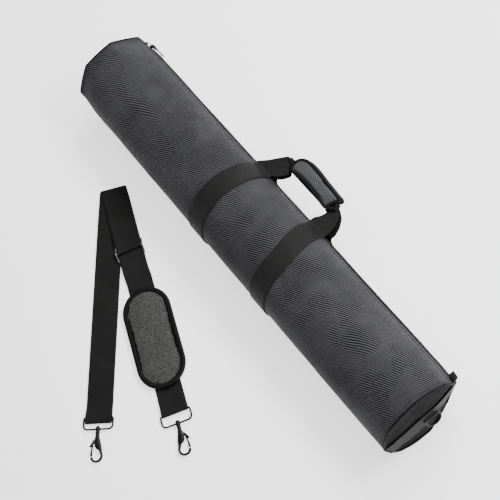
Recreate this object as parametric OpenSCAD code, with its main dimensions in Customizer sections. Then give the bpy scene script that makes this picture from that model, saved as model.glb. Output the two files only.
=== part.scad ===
// Padded carrying tube for rolled drawings, with a full-length zip, a wrapped
// carry handle, an end ring at each end and a detached shoulder strap lying
// beside it. Millimetres, +Z up. The tube lies along X on the plane z = 0, and
// the origin is the middle of the flat that it rests on.

/* [Tube] */
// Length of the outer shell
tube_len = 892; // [780:1:960]
// Outer radius of the shell
tube_r = 80; // [76:0.5:84]
// Half width of the flat that the tube rests on
rest_half = 28; // [20:1:34]
// Thickness of the outer cloth
cloth_t = 1; // [0.8:0.1:1.2]
// Thickness of the foam padding
foam_t = 5; // [4:0.5:6]
// Thickness of the inner lining
lining_t = 0.8; // [0.6:0.1:1]

/* [Zip] */
// Angle of the zip above the level of the tube's axis
zip_angle = 12; // [6:1:18]
// Width of the slot in the outer cloth
zip_slot = 14; // [13:0.5:16]
// Width of one zip tape
tape_w = 12; // [11:0.5:13]
// Rest place of the slider, from the middle of the tube
slider_x = -418; // [-420:1:-380]

/* [Carry handle] */
// Width of the carry webbing
band_w = 41; // [38:1:44]
// Thickness of all webbing
web_t = 1.5; // [1.2:0.1:1.6]
// Middle of the carry webbing on the far side of the handle
band_far_x = -70.5; // [-76:0.5:-68]
// Middle of the carry webbing on the near side of the handle
band_near_x = 110.5; // [108:0.5:116]
// Distance of the grip's inner edge from the tube's axis
grip_in_r = 113; // [112:0.5:115]
// Distance of the grip's outer edge from the tube's axis
grip_out_r = 146; // [144:0.5:148]

/* [End rings] */
// Width of the webbing across each end
end_web_w = 38; // [30:1:40]
// Wire radius of the end rings
dring_wire_r = 1.6; // [1.4:0.1:1.8]
// Width inside the end rings
dring_in_w = 25; // [22:1:27]

/* [Shoulder strap] */
// Width of the shoulder strap
strap_w = 50; // [46:1:51]
// Place of the strap's top fold along X
fold_x = -303.5; // [-310:0.5:-300]
// Place of the strap's top fold along Y
fold_y = -150.5; // [-156:0.5:-148]
// Direction of the folded-back leg, seen from above
left_dir = -39.2; // [-40:0.1:-38]
// Direction of the padded leg, seen from above
right_dir = -21.4; // [-22:0.1:-20]
// Distance from the fold to the ring bar on the folded-back leg
left_len = 436; // [430:1:446]
// Distance from the fold to the ring bar on the padded leg
right_len = 457.5; // [456:0.5:462]
// Length of the shoulder pad
pad_len = 196; // [190:1:197]
// Width of the shoulder pad
pad_w = 92; // [88:1:94]

/* [Strap fittings] */
// Wire radius of the swivel rings
ring_wire_r = 1.7; // [1.5:0.05:1.75]
// Distance between the two long bars of a swivel ring
ring_depth = 21; // [20:0.5:23]
// Length of a hook from its swivel to its tip
hook_len = 60; // [58:1:62]
// Thickness of a hook
hook_t = 7; // [6.5:0.1:7.4]

/* [Hidden] */
$fn = 64;

// Colours
cloth_colour = "#2b2c30";
foam_colour = "#55565a";
lining_colour = "#3a3b40";
web_colour = "#161616";
metal_colour = "#2f3033";
silver_colour = "#b9bbbe";

// Tube section
drop = sqrt(tube_r * tube_r - rest_half * rest_half);
gap = 0.1;
foam_r = tube_r - cloth_t - gap;
lining_r = foam_r - foam_t - gap;
end_stack = 6;
wall_len = tube_len - 2 * (end_stack + gap);
end_foam_t = 4.6;
end_face_x = tube_len / 2 + gap;
panel_x = end_face_x + cloth_t;
piping_w = 2.5;
piping_t = 2.8;

// Zip section, in the frame turned to the zip: Y points out, Z runs across it
tape_t = 0.8;
tape_y = 76.6;
tape_gap = 1.2;
tape_len = tube_len - 16;
coil_y = tape_y + tape_t;
coil_h = 2.6;
coil_w = 2.8;
coil_len = tape_len - 12;
stop_len = 3;
slider_len = 14;
slider_half_w = 5;
slider_top_y = coil_y + coil_h + 0.4;
slider_plate_t = 1.6;
slider_neck_t = 0.8;
bridge_r = 0.9;
bridge_y = slider_top_y + slider_plate_t + 1.9;
pull_len = 28;
pull_w = 7;
pull_t = 1.6;
run_fit = 0.06;
tab_x = [431, 449.5];
tab_top_y = 91;

// Carry webbing and handle, in the same turned frame
band_r = tube_r + 0.2;
leg_z = 12;
stub_y = 86;
leg_y = 100;
leg_low_z = 8.9;
grip_x = [-35, 74];
grip_strap_t = 3.2;
grip_pad_t = 5;
grip_fold_y = grip_out_r - 4;
flap_tip = 6;
patch_t = 0.8;

// End rings
end_web_t = 1.5;
end_web_x = panel_x + gap;
end_web_half = 70;
end_web_z = -12;
dring_y = 13;
dring_bar_x = end_web_x + end_web_t + dring_wire_r + 1.2;
dring_drop = 21;
dring_lean = 20;
keeper_half_w = 10;
keeper_half_h = 6;

// Shoulder strap: heights above the floor
layer_gap = 0.3;
double_t = 2 * web_t + 0.2;
over_z = double_t + 0.4;
low_z = 1.1;
right_shift = 3.5;
fold_r = (over_z + double_t) / 2;
bar_z = 4.4;
loop_in_r = ring_wire_r + 0.08;
loop_out_r = loop_in_r + web_t;
loop_taper = 18;
adjuster_at = 135;
adjuster_len = 31;
adjuster_wire_r = 1.4;
adjuster_rail_w = 1.8;
adjuster_z = double_t + 2 * adjuster_wire_r + 2 * layer_gap;
adjuster_loop_r = adjuster_wire_r + 0.08;
middle_bar_z = adjuster_z + 2 * web_t + layer_gap + adjuster_loop_r;
outer_bar_z = adjuster_z - layer_gap - adjuster_wire_r;
tail_end = adjuster_at - 8.5;
tail_loop_len = 34;
rise_from = 30;
rise_to = 95;
slope_from = 175;
slope_to = 196;
pad_at = 313;
pad_edge_w = 5;
pad_z = low_z + web_t + layer_gap;
pad_top = 12;
pad_back_t = 0.8;
pad_face_t = 1;
sleeve_t = 0.8;
sleeve_len = 120;
sewn_len = 14;

// Strap fittings, each in its own frame: X to the hook's tip, the ring's bar at 0
ring_half_w = strap_w / 2 + 1.2 + ring_wire_r;
ring_bend_r = 3.2;
ring_outer_bend_r = 8;
barrel_r = 4.1;
barrel_half = 3.5;
shank_r = 2;
shank_head_r = 3.3;
collar_r = 4.2;
neck_x = ring_depth + barrel_half + 0.4;
hook_tip_x = ring_depth + hook_len + 2;
hook_eye_x = hook_tip_x - 14;
hook_eye_r = 12;
hook_arm_w = 3.6;
gate_pivot = [ring_depth + 20, -6.2];
gate_slot_half = 1.7;
gate_t = 3;
pin_r = 1.2;
tiny = 0.01;

// Small sizes and clearances used by the modules below
fine_fn = 128;
foam_slot_w = 2 * tape_w + 4;
end_disc_r = tape_y - 3;
stop_h = 2.2;
stop_w = 6.8;
tab_w = 3.2;
tab_foot_y = 80.6;
tab_bend = 2;
tab_lean = 5;
tab_round = 4;
tab_dip = 3;
slider_gap = 0.4;
rib_half = 0.5;
eye_rim = 0.8;
pull_hole_r = 1.8;
band_over = 5;
lean_from = 30;
strap_gap = 0.2;
grip_rise = 5;
far_leg_out = [[-80, leg_y], [-66, 110], [-55, 127]];
near_leg_out = [[90, 127], [105, 112], [108, leg_y]];
far_leg_in = [-41, -38];
near_leg_in = [67, 71];
leg_corner = 6;
leg_round = 8;
patch_inset = 10;
patch_edge = 0.5;
patch_w = 4;
slope_ease = 0.4;
rise_ease = 0.2;
tail_bend = 8;
frame_gap = 0.5;
rail_low = 1.2;
rail_high = 1.6;
rail_half = 3;
channel_gap = 0.6;
channel_wall_t = 1.2;

// Hook and gate plan, measured from the neck, the eye or the gate's pin
stem_half_w = 4.5;
stem_len = 14;
body_x = neck_x + 12;
body_half_w = 9;
body_back_y = 6;
shoulder = [hook_eye_x - 6, 10.6];
crotch = [hook_eye_x - 3, 7];
throat = [gate_pivot[0] + 6, 2];
eye_cut = [14, 12];
eye_cut_low = 8;
mouth_from = 20;
mouth_cut = [24, 16];
shank_extra = 1.6;
shank_set = 1.2;
head_gap = 0.4;
head_len = 2;
collar_len = 4;
slot_back = 8;
slot_len = 40;
slot_deep = 17;
gate_reach = 3.5;
lug_r = 2.6;
lug_t = gate_t - 1.2;
lug_len = 6;
lug_top = [2, 1];
arm_from = 4;
arm_low = 3.4;
arm_w = 2.8;
lever_plan = [[5, -3], [12, -3], [9, -7.5], [6, -7.5]];
pin_fit = 0.005;
spring_r = 2.2;
spring_h = 1.1;
spring_fit = 0.2;

// ---- frames ----

module at_axis() {
    translate([0, 0, drop])
        children();
}

module at_zip() {
    at_axis()
        rotate([zip_angle, 0, 0])
            children();
}

// A section drawn in (Y, Z) runs along X, centred at x
module along_x(len, x = 0) {
    translate([x - len / 2, 0, 0])
        rotate([90, 0, 90])
            linear_extrude(len)
                children();
}

module mirror_far(far) {
    mirror([far ? 1 : 0, 0, 0])
        children();
}

// A frame on the floor at the strap's fold, turned to a direction
module at_fold(dir) {
    translate([fold_x, fold_y, 0])
        rotate([0, 0, dir])
            children();
}

// A frame at the start of a leg: the padded leg starts a little to one side
module on_leg(left) {
    at_fold(left ? left_dir : right_dir)
        translate([0, left ? 0 : right_shift, 0])
            children();
}

// A profile drawn in (distance, height) takes the width w across a leg
module across_leg(w) {
    translate([0, w / 2, 0])
        rotate([90, 0, 0])
            linear_extrude(w)
                children();
}

// A round bar across a leg
module wire(r, len) {
    rotate([90, 0, 0])
        cylinder(r = r, h = len, center = true);
}

// ---- tube walls and ends ----

// Round section whose underside is the flat that the tube rests on
module flat_disc(r) {
    intersection() {
        circle(r, $fn = fine_fn);
        translate([-tube_r, tube_r - r - drop])
            square([2 * tube_r, 2 * tube_r]);
    }
}

module tube_wall(r, t, len, slot_w) {
    at_axis()
        along_x(len)
            difference() {
                flat_disc(r);
                flat_disc(r - t);
                rotate(zip_angle)
                    translate([0, -slot_w / 2])
                        square([2 * tube_r, slot_w]);
            }
}

module outer_shell() {
    color(cloth_colour)
        tube_wall(tube_r, cloth_t, tube_len, zip_slot);
}

module foam_padding() {
    color(foam_colour)
        tube_wall(foam_r, foam_t, wall_len, foam_slot_w);
}

module inner_lining() {
    color(lining_colour)
        tube_wall(lining_r, lining_t, wall_len, zip_slot);
}

module end_disc(r, t, x) {
    at_axis()
        along_x(t, x + t / 2)
            flat_disc(r);
}

module end_panel(far) {
    color(cloth_colour)
        mirror_far(far)
            end_disc(tube_r, cloth_t, end_face_x);
}

// The foam disc stops short of the zip's tapes
module end_foam(far) {
    color(foam_colour)
        mirror_far(far)
            end_disc(end_disc_r, end_foam_t, end_face_x - end_foam_t - 2 * gap);
}

module end_lining(far) {
    color(lining_colour)
        mirror_far(far)
            end_disc(end_disc_r, lining_t, end_face_x - end_foam_t - lining_t - 4 * gap);
}

module end_piping(far) {
    color(web_colour)
        mirror_far(far)
            at_axis()
                along_x(piping_t, panel_x + gap + piping_t / 2)
                    difference() {
                        flat_disc(tube_r);
                        flat_disc(tube_r - piping_w);
                    }
}

// ---- zip ----

module zip_tape(side) {
    color(web_colour)
        at_zip()
            mirror([0, 0, side > 0 ? 0 : 1])
                translate([-tape_len / 2, tape_y, tape_gap / 2])
                    cube([tape_len, tape_t, tape_w]);
}

// One row of the coil, with a rounded back
module zip_coil(side) {
    color(metal_colour)
        at_zip()
            mirror([0, 0, side > 0 ? 0 : 1])
                along_x(coil_len)
                    intersection() {
                        translate([coil_y, tape_gap / 2])
                            square([coil_h, coil_w]);
                        translate([coil_y + tiny, tape_gap / 2])
                            circle(coil_w);
                    }
}

module zip_stops() {
    color(metal_colour)
        at_zip()
            for (end = [-1, 1])
                translate([end * (coil_len + stop_len + 1) / 2 - stop_len / 2, coil_y, -stop_w / 2])
                    cube([stop_len, stop_h, stop_w]);
}

// Folded webbing tab that stands out where the zip ends
module zip_end_tab() {
    color(web_colour)
        at_zip()
            translate([0, 0, -tab_w / 2])
                linear_extrude(tab_w)
                    polygon([
                        [tab_x[0], tab_foot_y], [tab_x[0] + tab_bend, tab_top_y - tab_bend],
                        [tab_x[0] + tab_lean, tab_top_y],
                        [tab_x[1] - tab_round, tab_top_y - tab_dip], [tab_x[1], tab_foot_y]
                    ]);
}

// Two plates joined by a thin neck between the tapes, with a bar for the pull
module zip_slider() {
    under_y = tape_y - slider_gap - slider_plate_t;
    color(metal_colour)
        at_zip()
            translate([slider_x, 0, 0]) {
                translate([-slider_len / 2, slider_top_y, -slider_half_w])
                    cube([slider_len, slider_plate_t, 2 * slider_half_w]);
                translate([-slider_len / 2, under_y, -slider_half_w])
                    cube([slider_len, slider_plate_t, 2 * slider_half_w]);
                translate([-slider_len / 2, under_y, -slider_neck_t / 2])
                    cube([slider_len / 2, slider_top_y - under_y + 1, slider_neck_t]);
                translate([0, bridge_y, -slider_half_w])
                    cylinder(r = bridge_r, h = 2 * slider_half_w);
                for (side = [-1, 1])
                    translate([-2, slider_top_y, side * (slider_half_w - rib_half) - rib_half])
                        cube([4, bridge_y - slider_top_y + bridge_r, 1]);
            }
}

module zip_pull() {
    eye_r = bridge_r + run_fit;
    eye_out_r = eye_r + eye_rim;
    color(metal_colour)
        at_zip()
            translate([slider_x, bridge_y, 0])
                difference() {
                    union() {
                        translate([0, 0, -pull_w / 2])
                            cylinder(r = eye_out_r, h = pull_w);
                        translate([0, -pull_t / 2, -pull_w / 2])
                            cube([pull_len, pull_t, pull_w]);
                        translate([pull_len, pull_t / 2, 0])
                            rotate([90, 0, 0])
                                cylinder(d = pull_w, h = pull_t);
                    }
                    translate([0, 0, -pull_w])
                        cylinder(r = eye_r, h = 2 * pull_w);
                    translate([pull_len - 1, pull_t, 0])
                        rotate([90, 0, 0])
                            cylinder(r = pull_hole_r, h = 2 * pull_t);
                }
}

// ---- carry webbing and handle ----

// Outline of the webbing seen from the front: x, and the distance out past the axis
module band_outline(mid, lean) {
    low = mid - band_w / 2;
    high = mid + band_w / 2;
    polygon([
        [low, -tube_r - band_over], [low, lean_from], [low + lean, tube_r], [low + lean, leg_y],
        [high + lean, leg_y], [high + lean, tube_r], [high, lean_from], [high, -tube_r - band_over]
    ]);
}

// Round run of the webbing, open at the zip and cut off at the resting flat
module band_hoop(mid) {
    along_x(6 * band_w, mid)
        difference() {
            circle(band_r + web_t, $fn = fine_fn);
            circle(band_r, $fn = fine_fn);
            translate([0, -leg_z])
                square([2 * tube_r, 2 * leg_z]);
            rotate(-zip_angle)
                translate([-2 * tube_r, -drop - 3 * tube_r])
                    square([4 * tube_r, 3 * tube_r]);
        }
}

// Webbing sewn round the tube, with its two ends standing out beside the zip
module carry_band(mid, lean) {
    color(web_colour)
        at_zip()
            intersection() {
                translate([0, 0, -2 * tube_r])
                    linear_extrude(4 * tube_r)
                        band_outline(mid, lean);
                union() {
                    band_hoop(mid);
                    for (side = [-1, 1])
                        translate([mid - 3 * band_w, tube_r, side * (leg_z + web_t / 2) - web_t / 2])
                            cube([6 * band_w, stub_y - tube_r, web_t]);
                }
            }
}

// Handle outline: two legs that lean in to the doubled part inside the grip
module handle_outline() {
    grip_low = grip_in_r + grip_rise;
    polygon([
        far_leg_out[0], far_leg_out[1], far_leg_out[2], [grip_x[0] + 1, grip_fold_y - 2],
        [grip_x[1] - 1, grip_fold_y - 2], near_leg_out[0], near_leg_out[1], near_leg_out[2],
        [near_leg_in[0], leg_y], [near_leg_in[1], grip_low - leg_corner], [grip_x[1] - leg_round, grip_low],
        [grip_x[0] + leg_round, grip_low], [far_leg_in[1], grip_low - leg_corner], [far_leg_in[0], leg_y]
    ]);
}

module handle_strap(side) {
    meet_y = grip_in_r - 2;
    color(web_colour)
        at_zip()
            mirror([0, 0, side > 0 ? 0 : 1])
                intersection() {
                    linear_extrude(4 * leg_z)
                        handle_outline();
                    along_x(8 * band_w)
                        polygon([
                            [leg_y, leg_low_z], [meet_y, strap_gap], [grip_out_r, strap_gap],
                            [grip_out_r, strap_gap + grip_strap_t], [meet_y, strap_gap + grip_strap_t],
                            [leg_y, leg_low_z + web_t]
                        ]);
                }
}

// Sewn half of the padded wrap: the back panel and the fold along its outer edge
module grip_wrap() {
    in_z = strap_gap + grip_strap_t + layer_gap;
    color(cloth_colour)
        at_zip()
            translate([grip_x[0], 0, 0]) {
                translate([0, grip_in_r, -in_z - grip_pad_t])
                    cube([grip_x[1] - grip_x[0], grip_out_r - grip_in_r, grip_pad_t]);
                translate([0, grip_fold_y, -in_z - tiny])
                    cube([grip_x[1] - grip_x[0], grip_out_r - grip_fold_y, 2 * in_z]);
            }
}

// Front panel of the wrap, which opens on the fold at the outer edge
module grip_flap() {
    in_z = strap_gap + grip_strap_t + layer_gap;
    color(cloth_colour)
        at_zip()
            translate([0, 0, in_z + layer_gap])
                linear_extrude(grip_pad_t)
                    polygon([
                        [grip_x[0], grip_in_r], [grip_x[0], grip_out_r],
                        [grip_x[1], grip_out_r], [grip_x[1] + flap_tip, grip_fold_y],
                        [grip_x[1], grip_in_r]
                    ]);
}

// The two halves of the touch fastening meet below the grip's inner edge
module grip_patch(z) {
    color(web_colour)
        at_zip()
            translate([grip_x[0] + patch_inset, grip_in_r + patch_edge, z])
                cube([grip_x[1] - grip_x[0] - 2 * patch_inset, patch_w, patch_t]);
}

module grip_hook_tape() {
    grip_patch(strap_gap + grip_strap_t + 2 * layer_gap - gap - patch_t);
}

module grip_loop_tape() {
    grip_patch(-strap_gap - grip_strap_t - layer_gap + gap);
}

// ---- end rings ----

module end_webbing(far) {
    color(web_colour)
        mirror_far(far)
            at_axis()
                translate([end_web_x, -end_web_half, end_web_z - end_web_w / 2])
                    cube([end_web_t, 2 * end_web_half, end_web_w]);
}

// Short webbing tunnel, sewn to the strip, that holds the ring's straight bar
module ring_keeper(far) {
    keeper_x = end_web_x + end_web_t + gap;
    keeper_r = dring_wire_r + run_fit;
    color(web_colour)
        mirror_far(far)
            at_axis()
                translate([0, dring_y, end_web_z])
                    difference() {
                        union() {
                            translate([keeper_x, -keeper_half_w, -keeper_half_h])
                                cube([1, 2 * keeper_half_w, 2 * keeper_half_h]);
                            translate([dring_bar_x, -keeper_half_w, 0])
                                rotate([-90, 0, 0])
                                    cylinder(r = keeper_r + 1, h = 2 * keeper_half_w);
                        }
                        translate([dring_bar_x, -dring_in_w, 0])
                            rotate([-90, 0, 0])
                                cylinder(r = keeper_r, h = 2 * dring_in_w);
                    }
}

// D ring: a straight bar along Y, two short sides and a round bow
module end_ring(far) {
    side_y = dring_in_w / 2 + dring_wire_r;
    side_len = dring_drop - side_y;
    color(metal_colour)
        mirror_far(far)
            at_axis()
                translate([dring_bar_x, dring_y, end_web_z])
                    rotate([0, -dring_lean, 0]) {
                        rotate([90, 0, 0])
                            cylinder(r = dring_wire_r, h = 2 * side_y, center = true);
                        for (side = [-1, 1])
                            translate([0, side * side_y, -side_len]) {
                                cylinder(r = dring_wire_r, h = side_len);
                                translate([0, 0, side_len])
                                    sphere(dring_wire_r);
                            }
                        translate([0, 0, -side_len])
                            rotate([0, 90, 0])
                                rotate([0, 0, -90])
                                    rotate_extrude(angle = 180)
                                        translate([side_y, 0])
                                            circle(dring_wire_r);
                    }
}

// ---- shoulder strap webbing ----

// Loop round a ring's bar: two layers part, go round the bar and meet behind it
module end_loop(under_z, len) {
    dip_z = under_z - bar_z;
    difference() {
        union() {
            across_leg(strap_w)
                circle(loop_out_r);
            across_leg(strap_w)
                polygon([
                    [0, -loop_out_r], [-loop_taper, dip_z], [-len, dip_z],
                    [-len, dip_z + double_t], [-loop_taper, dip_z + double_t], [0, loop_out_r]
                ]);
        }
        across_leg(2 * strap_w)
            circle(loop_in_r);
        across_leg(2 * strap_w)
            polygon([
                [0, loop_in_r - tiny], [0, -loop_in_r + tiny],
                [-loop_taper, dip_z + double_t / 2]
            ]);
    }
}

// Cuts a leg off square to the strap's rolled fold
module trim_at_fold() {
    difference() {
        children();
        at_fold((left_dir + right_dir) / 2)
            translate([fold_r + strap_gap - strap_w, -2 * strap_w, -strap_w])
                cube([strap_w, 4 * strap_w, 2 * strap_w]);
    }
}

module strap_left_leg() {
    color(web_colour)
        trim_at_fold()
            on_leg(true)
                translate([left_len, 0, bar_z])
                    end_loop(0, left_len + strap_w / 4);
}

// The padded leg climbs over the other leg and the adjuster's bars, then runs
// down to the pad and ends in a sewn loop round the ring's bar
module strap_right_leg() {
    loop_from = right_len - loop_taper - sewn_len;
    start = -strap_w / 4;
    color(web_colour)
        trim_at_fold()
            on_leg(false) {
                across_leg(strap_w)
                    polygon([
                        [start, over_z], [rise_from, over_z], [rise_to, adjuster_z],
                        [slope_from, adjuster_z], [slope_to, low_z], [loop_from + 1, low_z],
                        [loop_from + 1, low_z + web_t], [slope_to + slope_ease, low_z + web_t],
                        [slope_from + slope_ease, adjuster_z + web_t], [tail_end, adjuster_z + web_t],
                        [tail_end, adjuster_z + double_t], [rise_to - rise_ease, adjuster_z + double_t],
                        [rise_from - rise_ease, over_z + double_t], [start, over_z + double_t]
                    ]);
                translate([right_len, 0, bar_z])
                    end_loop(low_z, loop_taper + sewn_len);
            }
}

// Rolled fold where the two legs meet
module strap_fold() {
    color(web_colour)
        at_fold((left_dir + right_dir) / 2)
            translate([fold_r, 0, fold_r])
                rotate([90, 0, 0])
                    difference() {
                        cylinder(r = fold_r, h = strap_w, center = true);
                        translate([0, -2 * fold_r, -strap_w])
                            cube([2 * fold_r, 4 * fold_r, 2 * strap_w]);
                    }
}

// Sewn end of the webbing, looped round the adjuster's middle bar
module strap_tail_loop() {
    out_r = adjuster_loop_r + web_t;
    lie_z = adjuster_z + double_t + layer_gap - middle_bar_z;
    color(web_colour)
        on_leg(false)
            translate([adjuster_at, 0, middle_bar_z])
                difference() {
                    union() {
                        across_leg(strap_w - 1)
                            circle(out_r);
                        across_leg(strap_w - 1)
                            polygon([
                                [0, out_r], [0, -out_r + 1], [-tail_bend, lie_z], [-tail_loop_len, lie_z],
                                [-tail_loop_len, lie_z + web_t], [-tail_bend, lie_z + 2 * web_t]
                            ]);
                    }
                    across_leg(2 * strap_w)
                        circle(adjuster_loop_r);
                }
}

// Sliding adjuster: two outer bars under the webbing and a middle bar over it
module strap_adjuster() {
    side_y = strap_w / 2 + frame_gap;
    bar_len = 2 * side_y + adjuster_rail_w;
    end_x = adjuster_len / 2;
    color(silver_colour)
        on_leg(false)
            translate([adjuster_at, 0, 0]) {
                for (end = [-1, 1])
                    translate([end * (end_x - adjuster_wire_r), 0, outer_bar_z])
                        wire(adjuster_wire_r, bar_len);
                translate([0, 0, middle_bar_z])
                    wire(adjuster_wire_r, bar_len);
                for (side = [-1, 1])
                    translate([0, side * (side_y + adjuster_rail_w / 2), 0])
                        across_leg(adjuster_rail_w)
                            polygon([
                                [-end_x, outer_bar_z - rail_low], [end_x, outer_bar_z - rail_low],
                                [end_x, outer_bar_z + rail_high], [rail_half, middle_bar_z + rail_low],
                                [-rail_half, middle_bar_z + rail_low], [-end_x, outer_bar_z + rail_high]
                            ]);
            }
}

// ---- shoulder pad ----

// Outline with round ends, shrunk by inset
module pad_outline(inset) {
    r = pad_w / 2 - inset;
    straight = pad_len - pad_w;
    union() {
        square([straight, 2 * r], center = true);
        for (end = [-1, 1])
            translate([end * straight / 2, 0])
                circle(r);
    }
}

module pad_layer(z, t, inset) {
    on_leg(false)
        translate([pad_at, 0, z])
            linear_extrude(t)
                pad_outline(inset);
}

// Fabric channel on the pad's back that the webbing runs through
module pad_sleeve() {
    half_w = strap_w / 2 + channel_gap;
    wall_t = channel_wall_t;
    color(cloth_colour)
        on_leg(false)
            translate([pad_at - sleeve_len / 2, 0, 0])
                difference() {
                    translate([0, -half_w - wall_t, 0])
                        cube([sleeve_len, 2 * (half_w + wall_t), pad_z - gap]);
                    translate([-1, -half_w, sleeve_t])
                        cube([sleeve_len + 2, 2 * half_w, pad_z]);
                }
}

module pad_backing() {
    color(cloth_colour)
        pad_layer(pad_z, pad_back_t, pad_edge_w + gap);
}

module pad_foam() {
    color(foam_colour)
        pad_layer(pad_z + pad_back_t + gap, pad_top - pad_z - pad_back_t - pad_face_t - 2 * gap,
            pad_edge_w + gap);
}

module pad_cover() {
    color(cloth_colour)
        pad_layer(pad_top - pad_face_t, pad_face_t, pad_edge_w + gap);
}

module pad_binding() {
    color(web_colour)
        difference() {
            pad_layer(pad_z, pad_top - pad_z, 0);
            pad_layer(pad_z - 1, pad_top - pad_z + 2, pad_edge_w);
        }
}

// ---- swivel rings and hooks ----

// side = 1 puts the gate's thumb lever to the left of the way the hook points
module at_ring(left) {
    on_leg(left)
        translate([left ? left_len : right_len, 0, bar_z])
            mirror([0, left ? 0 : 1, 0])
                children();
}

// Rectangular wire ring with round corners and the swivel barrel on its outer bar
module swivel_ring(left) {
    color(metal_colour)
        at_ring(left)
            difference() {
                union() {
                    for (outer = [0, 1])
                        ring_end(outer == 1);
                    for (side = [-1, 1])
                        translate([ring_bend_r, side * ring_half_w, 0])
                            rotate([0, 90, 0])
                                cylinder(r = ring_wire_r,
                                    h = ring_depth - ring_bend_r - ring_outer_bend_r);
                    translate([ring_depth - barrel_half, 0, 0])
                        rotate([0, 90, 0])
                            cylinder(r = barrel_r, h = 2 * barrel_half);
                }
                translate([ring_depth - 2 * barrel_half, 0, 0])
                    rotate([0, 90, 0])
                        cylinder(r = shank_r + run_fit, h = 4 * barrel_half);
            }
}

// One long bar of a swivel ring with its two corners
module ring_end(outer) {
    bend_r = outer ? ring_outer_bend_r : ring_bend_r;
    bar_half = ring_half_w - bend_r;
    translate([outer ? ring_depth : 0, 0, 0])
        wire(ring_wire_r, 2 * bar_half);
    for (side = [-1, 1])
        translate([outer ? ring_depth - bend_r : bend_r, side * bar_half, 0])
            rotate(outer ? (side > 0 ? 0 : 270) : (side > 0 ? 90 : 180))
                rotate_extrude(angle = 90)
                    translate([bend_r, 0])
                        circle(ring_wire_r);
}

// Flat plan of the hook: shoulder, stem, and an eye open on the gate's side
module hook_plan() {
    difference() {
        union() {
            translate([neck_x + 2, -stem_half_w])
                square([stem_len, 2 * stem_half_w]);
            polygon([
                [body_x, -body_half_w], [body_x, body_back_y], shoulder,
                crotch, throat, [throat[0], -body_half_w]
            ]);
            translate([hook_eye_x, 0])
                circle(hook_eye_r);
        }
        translate([hook_eye_x, 0])
            circle(hook_eye_r - hook_arm_w);
        translate([hook_eye_x - eye_cut[0], -eye_cut_low])
            square(eye_cut);
        translate([hook_eye_x - mouth_from, -mouth_from])
            square(mouth_cut);
    }
}

// Body of the hook, with its swivel shank and a slot for the gate's lug
module hook(left) {
    shank_len = 2 * barrel_half + shank_extra;
    color(metal_colour)
        at_ring(left)
            difference() {
                union() {
                    translate([0, 0, -hook_t / 2])
                        linear_extrude(hook_t)
                            hook_plan();
                    translate([ring_depth - barrel_half - shank_set, 0, 0])
                        rotate([0, 90, 0])
                            cylinder(r = shank_r, h = shank_len + 2);
                    translate([ring_depth - barrel_half - head_gap - head_len, 0, 0])
                        rotate([0, 90, 0])
                            cylinder(r = shank_head_r, h = head_len);
                    translate([neck_x, 0, 0])
                        rotate([0, 90, 0])
                            cylinder(r = collar_r, h = collar_len);
                }
                translate([gate_pivot[0] - slot_back, -mouth_from, -gate_slot_half])
                    cube([slot_len, slot_deep, 2 * gate_slot_half]);
                translate([gate_pivot[0], gate_pivot[1], -hook_t])
                    cylinder(r = pin_r, h = 2 * hook_t);
            }
}

// Gate: a lug round the pin, an arm that closes the eye and a thumb lever
module gate(left) {
    arm_len = hook_eye_x + gate_reach - gate_pivot[0];
    color(metal_colour)
        at_ring(left)
            translate([gate_pivot[0], gate_pivot[1], -gate_t / 2])
                difference() {
                    union() {
                        cylinder(r = lug_r, h = lug_t);
                        linear_extrude(lug_t)
                            polygon([[0, -lug_r], [0, lug_top[0]], [lug_len, lug_top[1]], [lug_len, -lug_r]]);
                        translate([arm_from, -arm_low, 0])
                            cube([arm_len - arm_from, arm_w, gate_t]);
                        linear_extrude(gate_t)
                            polygon(lever_plan);
                    }
                    translate([0, 0, -1])
                        cylinder(r = pin_r + run_fit, h = gate_t + 2);
                }
}

module gate_pin(left) {
    color(silver_colour)
        at_ring(left)
            translate([gate_pivot[0], gate_pivot[1], -hook_t / 2])
                cylinder(r = pin_r - pin_fit, h = hook_t);
}

// Small spring round the pin, beside the gate's lug
module gate_spring(left) {
    color(silver_colour)
        at_ring(left)
            translate([gate_pivot[0], gate_pivot[1], gate_t / 2 - spring_h])
                difference() {
                    cylinder(r = spring_r, h = spring_h);
                    translate([0, 0, -1])
                        cylinder(r = pin_r + spring_fit, h = 3);
                }
}

outer_shell();
foam_padding();
inner_lining();
end_panel(false);  // near_end_panel
end_foam(false);  // near_end_foam
end_lining(false);  // near_end_lining
end_piping(false);  // near_end_piping
end_panel(true);  // far_end_panel
end_foam(true);  // far_end_foam
end_lining(true);  // far_end_lining
end_piping(true);  // far_end_piping
zip_tape(1);  // zip_tape_upper
zip_tape(-1);  // zip_tape_lower
zip_coil(1);  // zip_coil_upper
zip_coil(-1);  // zip_coil_lower
zip_stops();
zip_end_tab();
zip_slider();
zip_pull();
carry_band(band_far_x, 5);  // carry_band_far
carry_band(band_near_x, -22);  // carry_band_near
handle_strap(1);  // handle_strap_front
handle_strap(-1);  // handle_strap_back
grip_wrap();
grip_flap();
grip_hook_tape();
grip_loop_tape();
end_webbing(false);  // near_end_webbing
ring_keeper(false);  // near_ring_keeper
end_ring(false);  // near_end_ring
end_webbing(true);  // far_end_webbing
ring_keeper(true);  // far_ring_keeper
end_ring(true);  // far_end_ring
strap_left_leg();
strap_right_leg();
strap_fold();
strap_tail_loop();
strap_adjuster();
pad_sleeve();
pad_backing();
pad_foam();
pad_cover();
pad_binding();
swivel_ring(true);  // left_swivel_ring
hook(true);  // left_hook
gate(true);  // left_gate
gate_pin(true);  // left_gate_pin
gate_spring(true);  // left_gate_spring
swivel_ring(false);  // right_swivel_ring
hook(false);  // right_hook
gate(false);  // right_gate
gate_pin(false);  // right_gate_pin
gate_spring(false);  // right_gate_spring
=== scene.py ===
import math

import bpy
import bmesh
import numpy as np
from mathutils import Matrix, Vector, noise


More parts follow.
